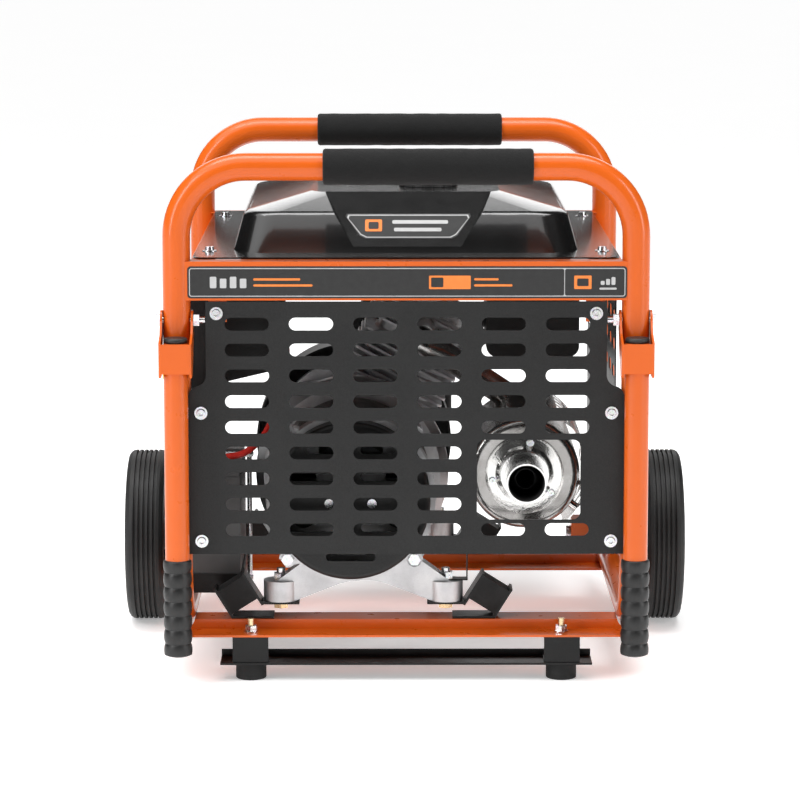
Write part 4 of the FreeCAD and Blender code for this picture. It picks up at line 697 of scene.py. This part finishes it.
# the plug's outline, as depth below its top and radius
tubePlug = {
    "steps": 48,
    "profile": ((0.012, 0.0), (0.012, 0.0112), (0.006, 0.0112), (0.006, 0.014), (0.0028, 0.014),
                (0.0012, 0.0135), (0.0003, 0.0124), (0.0, 0.0108), (0.0, 0.0)),
}
ribbedGrip = gripTree()
for side in ("left", "right"):
    low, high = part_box("grip_" + side)
    middle = Vector(((low.x + high.x) / 2, (low.y + high.y) / 2, 0))
    foot = (middle.x, middle.y, low.z)
    mesh = grown(ribbedGrip, [foot], {
        "Length": grip["length"], "Groove Radius": grip["grooveRadius"], "Rib Radius": grip["ribRadius"],
        "Ribs": grip["ribs"], "Finish": finishes["grip"]}, "ribbedGrip" + side)
    piece = bpy.data.objects.new("ribbedGrip" + side, mesh)
    bpy.context.scene.collection.objects.link(piece)
    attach(piece, side + "_handle")
    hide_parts("grip_" + side)
    # the moulded plug that closes the top of the handle tube
    plugProfile = [(high.z - below, radius) for below, radius in tubePlug["profile"]]
    plug = turned("tubePlug" + side, plugProfile, middle, Vector((0, 0, 1)), tubePlug["steps"],
                  side + "_handle", finishes["plastic"])
print("grips made")

# "from" is where a straight line starts on its way to the surface that carries the screw
panelScrew = {"flangeRadius": 0.0075, "flangeDepth": 0.0018, "headRadius": 0.0055, "headDepth": 0.0042,
              "recess": 0.62, "apart": 0.02}
ringScrew = {"flangeRadius": 0.0046, "flangeDepth": 0.001, "headRadius": 0.0038, "headDepth": 0.0034,
             "recess": 0.35, "circle": 0.038, "angles": (80, 190, 326), "from": -0.4}
screwHeads = screwTree()


def screws(name, points, sizes, turn=(math.pi / 2, 0.0, 0.0)):
    mesh = grown(screwHeads, points, {
        "Flange Radius": sizes["flangeRadius"], "Flange Depth": sizes["flangeDepth"],
        "Head Radius": sizes["headRadius"], "Head Depth": sizes["headDepth"],
        "Recess": sizes["recess"], "Turn": turn, "Finish": finishes["zinc"]}, name)
    piece = bpy.data.objects.new(name, mesh)
    bpy.context.scene.collection.objects.link(piece)
    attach(piece, "frame")
    return piece


def solidCentres(node, gap):
    # the middles of a node's separate solids, seen from the front
    centres = []
    for vertex in nodes[node].data.vertices:
        spot = vertex.co
        near = [c for c in centres if abs(c[0] - spot.x) < gap and abs(c[1] - spot.z) < gap]
        if near:
            near[0][2].append(spot.copy())
        else:
            centres.append([spot.x, spot.z, [spot.copy()]])
    middles = []
    for group in centres:
        xs = [p.x for p in group[2]]
        zs = [p.z for p in group[2]]
        middles.append(((min(xs) + max(xs)) / 2, (min(zs) + max(zs)) / 2))
    return middles


def struck(node, start, direction):
    # where a straight line first meets a node, or nothing
    hit, spot = nodes[node].ray_cast(Vector(start), Vector(direction))[:2]
    return tuple(spot) if hit else None


def found(places):
    return [place for place in places if place is not None]


def onCircle(node, centre, sizes, direction):
    # places round an axis along Y, on the surface of a node
    places = []
    for degrees in sizes["angles"]:
        angle = math.radians(degrees)
        x = centre[0] + sizes["circle"] * math.cos(angle)
        z = centre[1] + sizes["circle"] * math.sin(angle)
        places.append(struck(node, (x, sizes["from"], z), (0, direction, 0)))
    return found(places)


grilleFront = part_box("grille_panel")[0].y
screwY = grilleFront - panelScrew["flangeDepth"] / 2
screwPlaces = [(x, screwY, z) for x, z in solidCentres("panel_screws", panelScrew["apart"])]
panelScrews = screws("panelScrews", screwPlaces, panelScrew)
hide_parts("panel_screws")
ringPlaces = onCircle("exhaust_outlet", (outletAxis["x"], outletAxis["z"]), ringScrew, 1)
screws("ringScrews", ringPlaces, ringScrew)

panelFixing = {"flangeRadius": 0.0042, "flangeDepth": 0.0008, "headRadius": 0.0034, "headDepth": 0.002,
               "recess": 0.5, "rows": (0.353, 0.436), "columns": (-0.228, -0.038, 0.152), "from": -0.5}
recoilScrew = {"flangeRadius": 0.0078, "flangeDepth": 0.0016, "headRadius": 0.0052, "headDepth": 0.004,
               "recess": 0.55, "centre": (-0.065, 0.211), "circle": 0.094, "angles": (40, 140, 220, 320),
               "from": 0.5}
tankBolt = {"flangeRadius": 0.0085, "flangeDepth": 0.0016, "headRadius": 0.0058, "headDepth": 0.005,
            "recess": 0.4, "corners": ((-0.231, -0.2), (0.231, -0.2), (-0.231, 0.228), (0.231, 0.228)),
            "from": 0.7}
panelPlaces = found([struck("control_box", (panelFixing["from"], y, z), (1, 0, 0))
                     for y in panelFixing["columns"] for z in panelFixing["rows"]])
screws("panelFixings", panelPlaces, panelFixing, (0.0, -math.pi / 2, 0.0))
recoilPlaces = onCircle("recoil_cover", recoilScrew["centre"], recoilScrew, -1)
screws("recoilScrews", recoilPlaces, recoilScrew, (-math.pi / 2, 0.0, 0.0))
tankPlaces = found([struck("fuel_tank", (x, y, tankBolt["from"]), (0, 0, -1))
                    for x, y in tankBolt["corners"]])
screws("tankBolts", tankPlaces, tankBolt, (0.0, 0.0, 0.0))
allPlaces = screwPlaces + ringPlaces + panelPlaces + recoilPlaces + tankPlaces
print("screws made", len(allPlaces))

# films on the front band and the tank

bandFilm = {
    "x0": -0.252,
    "x1": 0.254,
    "z0": 0.4535,
    "z1": 0.4905,
    "radius": 0.004,
    "edge": 0.002,
    "line": 0.0011,
    "divider": 0.182,
    "thick": 0.0003,
    "markRadius": 0.0012,
    # plain bars and blocks with no lettering: x from and to, z from and to about the middle, material
    "marks": [(-0.176, -0.122, 0.0022, 0.0048, 2), (-0.176, -0.108, -0.0048, -0.0022, 2),
              (0.026, 0.074, -0.0078, 0.0078, 2), (0.0285, 0.0425, -0.0055, 0.0055, 0),
              (0.078, 0.106, 0.0022, 0.0048, 2), (0.078, 0.122, -0.0048, -0.0022, 2),
              (0.193, 0.213, -0.0078, 0.0078, 2), (0.1965, 0.2095, -0.0043, 0.0043, 0),
              (0.222, 0.242, -0.0085, -0.0062, 1)],
}
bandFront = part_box("front_band")[0].y


def onBand(x, z, lift):
    return Vector((x, bandFront + lift, z))


def marksOn(sizes, marks, middle):
    # dark marks lie one step higher than the pale and orange ones they sit on
    plates = []
    for x0, x1, z0, z1, index in marks:
        lift = (3 if index else 4) * sizes["thick"]
        outline = roundedOutline(x0, x1, middle + z0, middle + z1, sizes["markRadius"])
        plates.append((outline, index, lift))
    return plates


def bandOutlines():
    s = bandFilm
    line, edge, thick = s["line"], s["edge"], s["thick"]
    x0, x1, z0, z1, radius = s["x0"], s["x1"], s["z0"], s["z1"], s["radius"]
    shapes = [(roundedOutline(x0, x1, z0, z1, radius), 0, 0.0)]
    shapes.append((roundedOutline(x0 + edge, x1 - edge, z0 + edge, z1 - edge, radius - edge / 2), 1, thick))
    for left, right in ((x0 + edge + line, s["divider"] - line / 2),
                        (s["divider"] + line / 2, x1 - edge - line)):
        panel = roundedOutline(left, right, z0 + edge + line, z1 - edge - line, radius - edge)
        shapes.append((panel, 0, 2 * thick))
    marks = list(s["marks"])
    marks += [(-0.226 + 0.0115 * k, -0.2185 + 0.0115 * k, -0.0066, 0.0066 - 0.0022 * (k % 2), 1)
              for k in range(4)]
    marks += [(0.2235 + 0.0062 * k, 0.228 + 0.0062 * k, -0.003, 0.0016 + 0.0022 * k, 1) for k in range(3)]
    return shapes + marksOn(s, marks, (z0 + z1) / 2)


film = filmPlate("bandFilm", bandOutlines(), onBand, bandFilm["thick"], "frame",
                 finishes["filmBlack"], finishes["filmPale"], finishes["filmOrange"])

tankFilm = {
    "top": (-0.074, 0.080, 0.5385),
    "bottom": (-0.052, 0.058, 0.513),
    "insets": (0.0, 0.0012, 0.0022),
    "corner": 0.004,
    "slant": 1.6,
    "from": -0.5,
    "thick": 0.0003,
    "markRadius": 0.0015,
    "marks": [(-0.048, -0.028, 0.5205, 0.5325, 2), (-0.044, -0.032, 0.523, 0.53, 0),
              (-0.016, 0.05, 0.5282, 0.5318, 1), (-0.014, 0.042, 0.5205, 0.5241, 1)],
}


def onTank(x, z, lift):
    spot = Vector(struck("fuel_tank", (x, tankFilm["from"], z), (0, 1, 0)))
    return spot + Vector((0, lift - tankFilm["thick"], 0))


def tankOutline(shrink):
    left, right, top = tankFilm["top"]
    leftLow, rightLow, low = tankFilm["bottom"]
    slant = tankFilm["slant"]
    corners = [(leftLow + shrink, low + shrink), (rightLow - shrink, low + shrink),
               (right - shrink * slant, top - shrink), (left + shrink * slant, top - shrink)]
    points = []
    for k, (x, z) in enumerate(corners):
        before = corners[k - 1]
        after = corners[(k + 1) % 4]
        for other in (before, after):
            cut = Vector((other[0] - x, other[1] - z)).normalized() * tankFilm["corner"]
            points.append((x + cut.x, z + cut.y))
    return points


# dark, pale and dark plates in turn, each a step above the last
shapes = [(tankOutline(inset), step % 2, step * tankFilm["thick"])
          for step, inset in enumerate(tankFilm["insets"])]
shapes += marksOn(tankFilm, tankFilm["marks"], 0.0)
film = filmPlate("tankFilm", shapes, onTank, tankFilm["thick"], "frame",
                 finishes["filmBlack"], finishes["filmPale"], finishes["filmOrange"])
print("films made")

# camera, light and floor

camera = bpy.data.objects.new("camera", bpy.data.cameras.new("camera"))
camera.location = studio["cameraPlace"]
camera.rotation_euler = studio["cameraTilt"]
camera.data.lens = studio["lens"]
camera.data.clip_end = studio["farthest"]
bpy.context.scene.collection.objects.link(camera)
bpy.context.scene.camera = camera

world = bpy.data.worlds.new("studioWorld")
world.use_nodes = True
world.node_tree.nodes["Background"].inputs["Strength"].default_value = studio["worldStrength"]
bpy.context.scene.world = world
bpy.context.scene.view_settings.view_transform = "Standard"


def panelLight(name, place, target, size, power):
    lamp = bpy.data.lights.new(name, "AREA")
    lamp.shape = "RECTANGLE"
    lamp.size = size[0]
    lamp.size_y = size[1]
    lamp.energy = power
    holder = bpy.data.objects.new(name, lamp)
    holder.location = place
    aim = Vector(target) - Vector(place)
    holder.rotation_euler = aim.to_track_quat("-Z", "Y").to_euler()
    bpy.context.scene.collection.objects.link(holder)


sun = bpy.data.objects.new("sky", bpy.data.lights.new("sky", "SUN"))
sun.data.energy = studio["sunStrength"]
sun.data.angle = studio["sunSpread"]
sun.rotation_euler = studio["sunTilt"]
bpy.context.scene.collection.objects.link(sun)
for panel in studio["panels"]:
    panelLight(*panel)

floorMesh = bpy.data.meshes.new("floor")
reach = studio["floorReach"]
corners = [(-reach, -reach, 0), (reach, -reach, 0), (reach, reach, 0), (-reach, reach, 0)]
floorMesh.from_pydata(corners, [], [(0, 1, 2, 3)])
floor = bpy.data.objects.new("floor", floorMesh)
bpy.context.scene.collection.objects.link(floor)
pale = studio["floorTone"]
paper = Finish("floorPaper", Roughness=0.9, Emission_Color=tone(1), Emission_Strength=studio["floorGlow"])
paper.feed("Base Color", paper.ramp(paper.grain(2.0), (0.3, pale - 0.01), (0.7, pale)))
floorMesh.materials.append(paper.material)
print("stage ready")
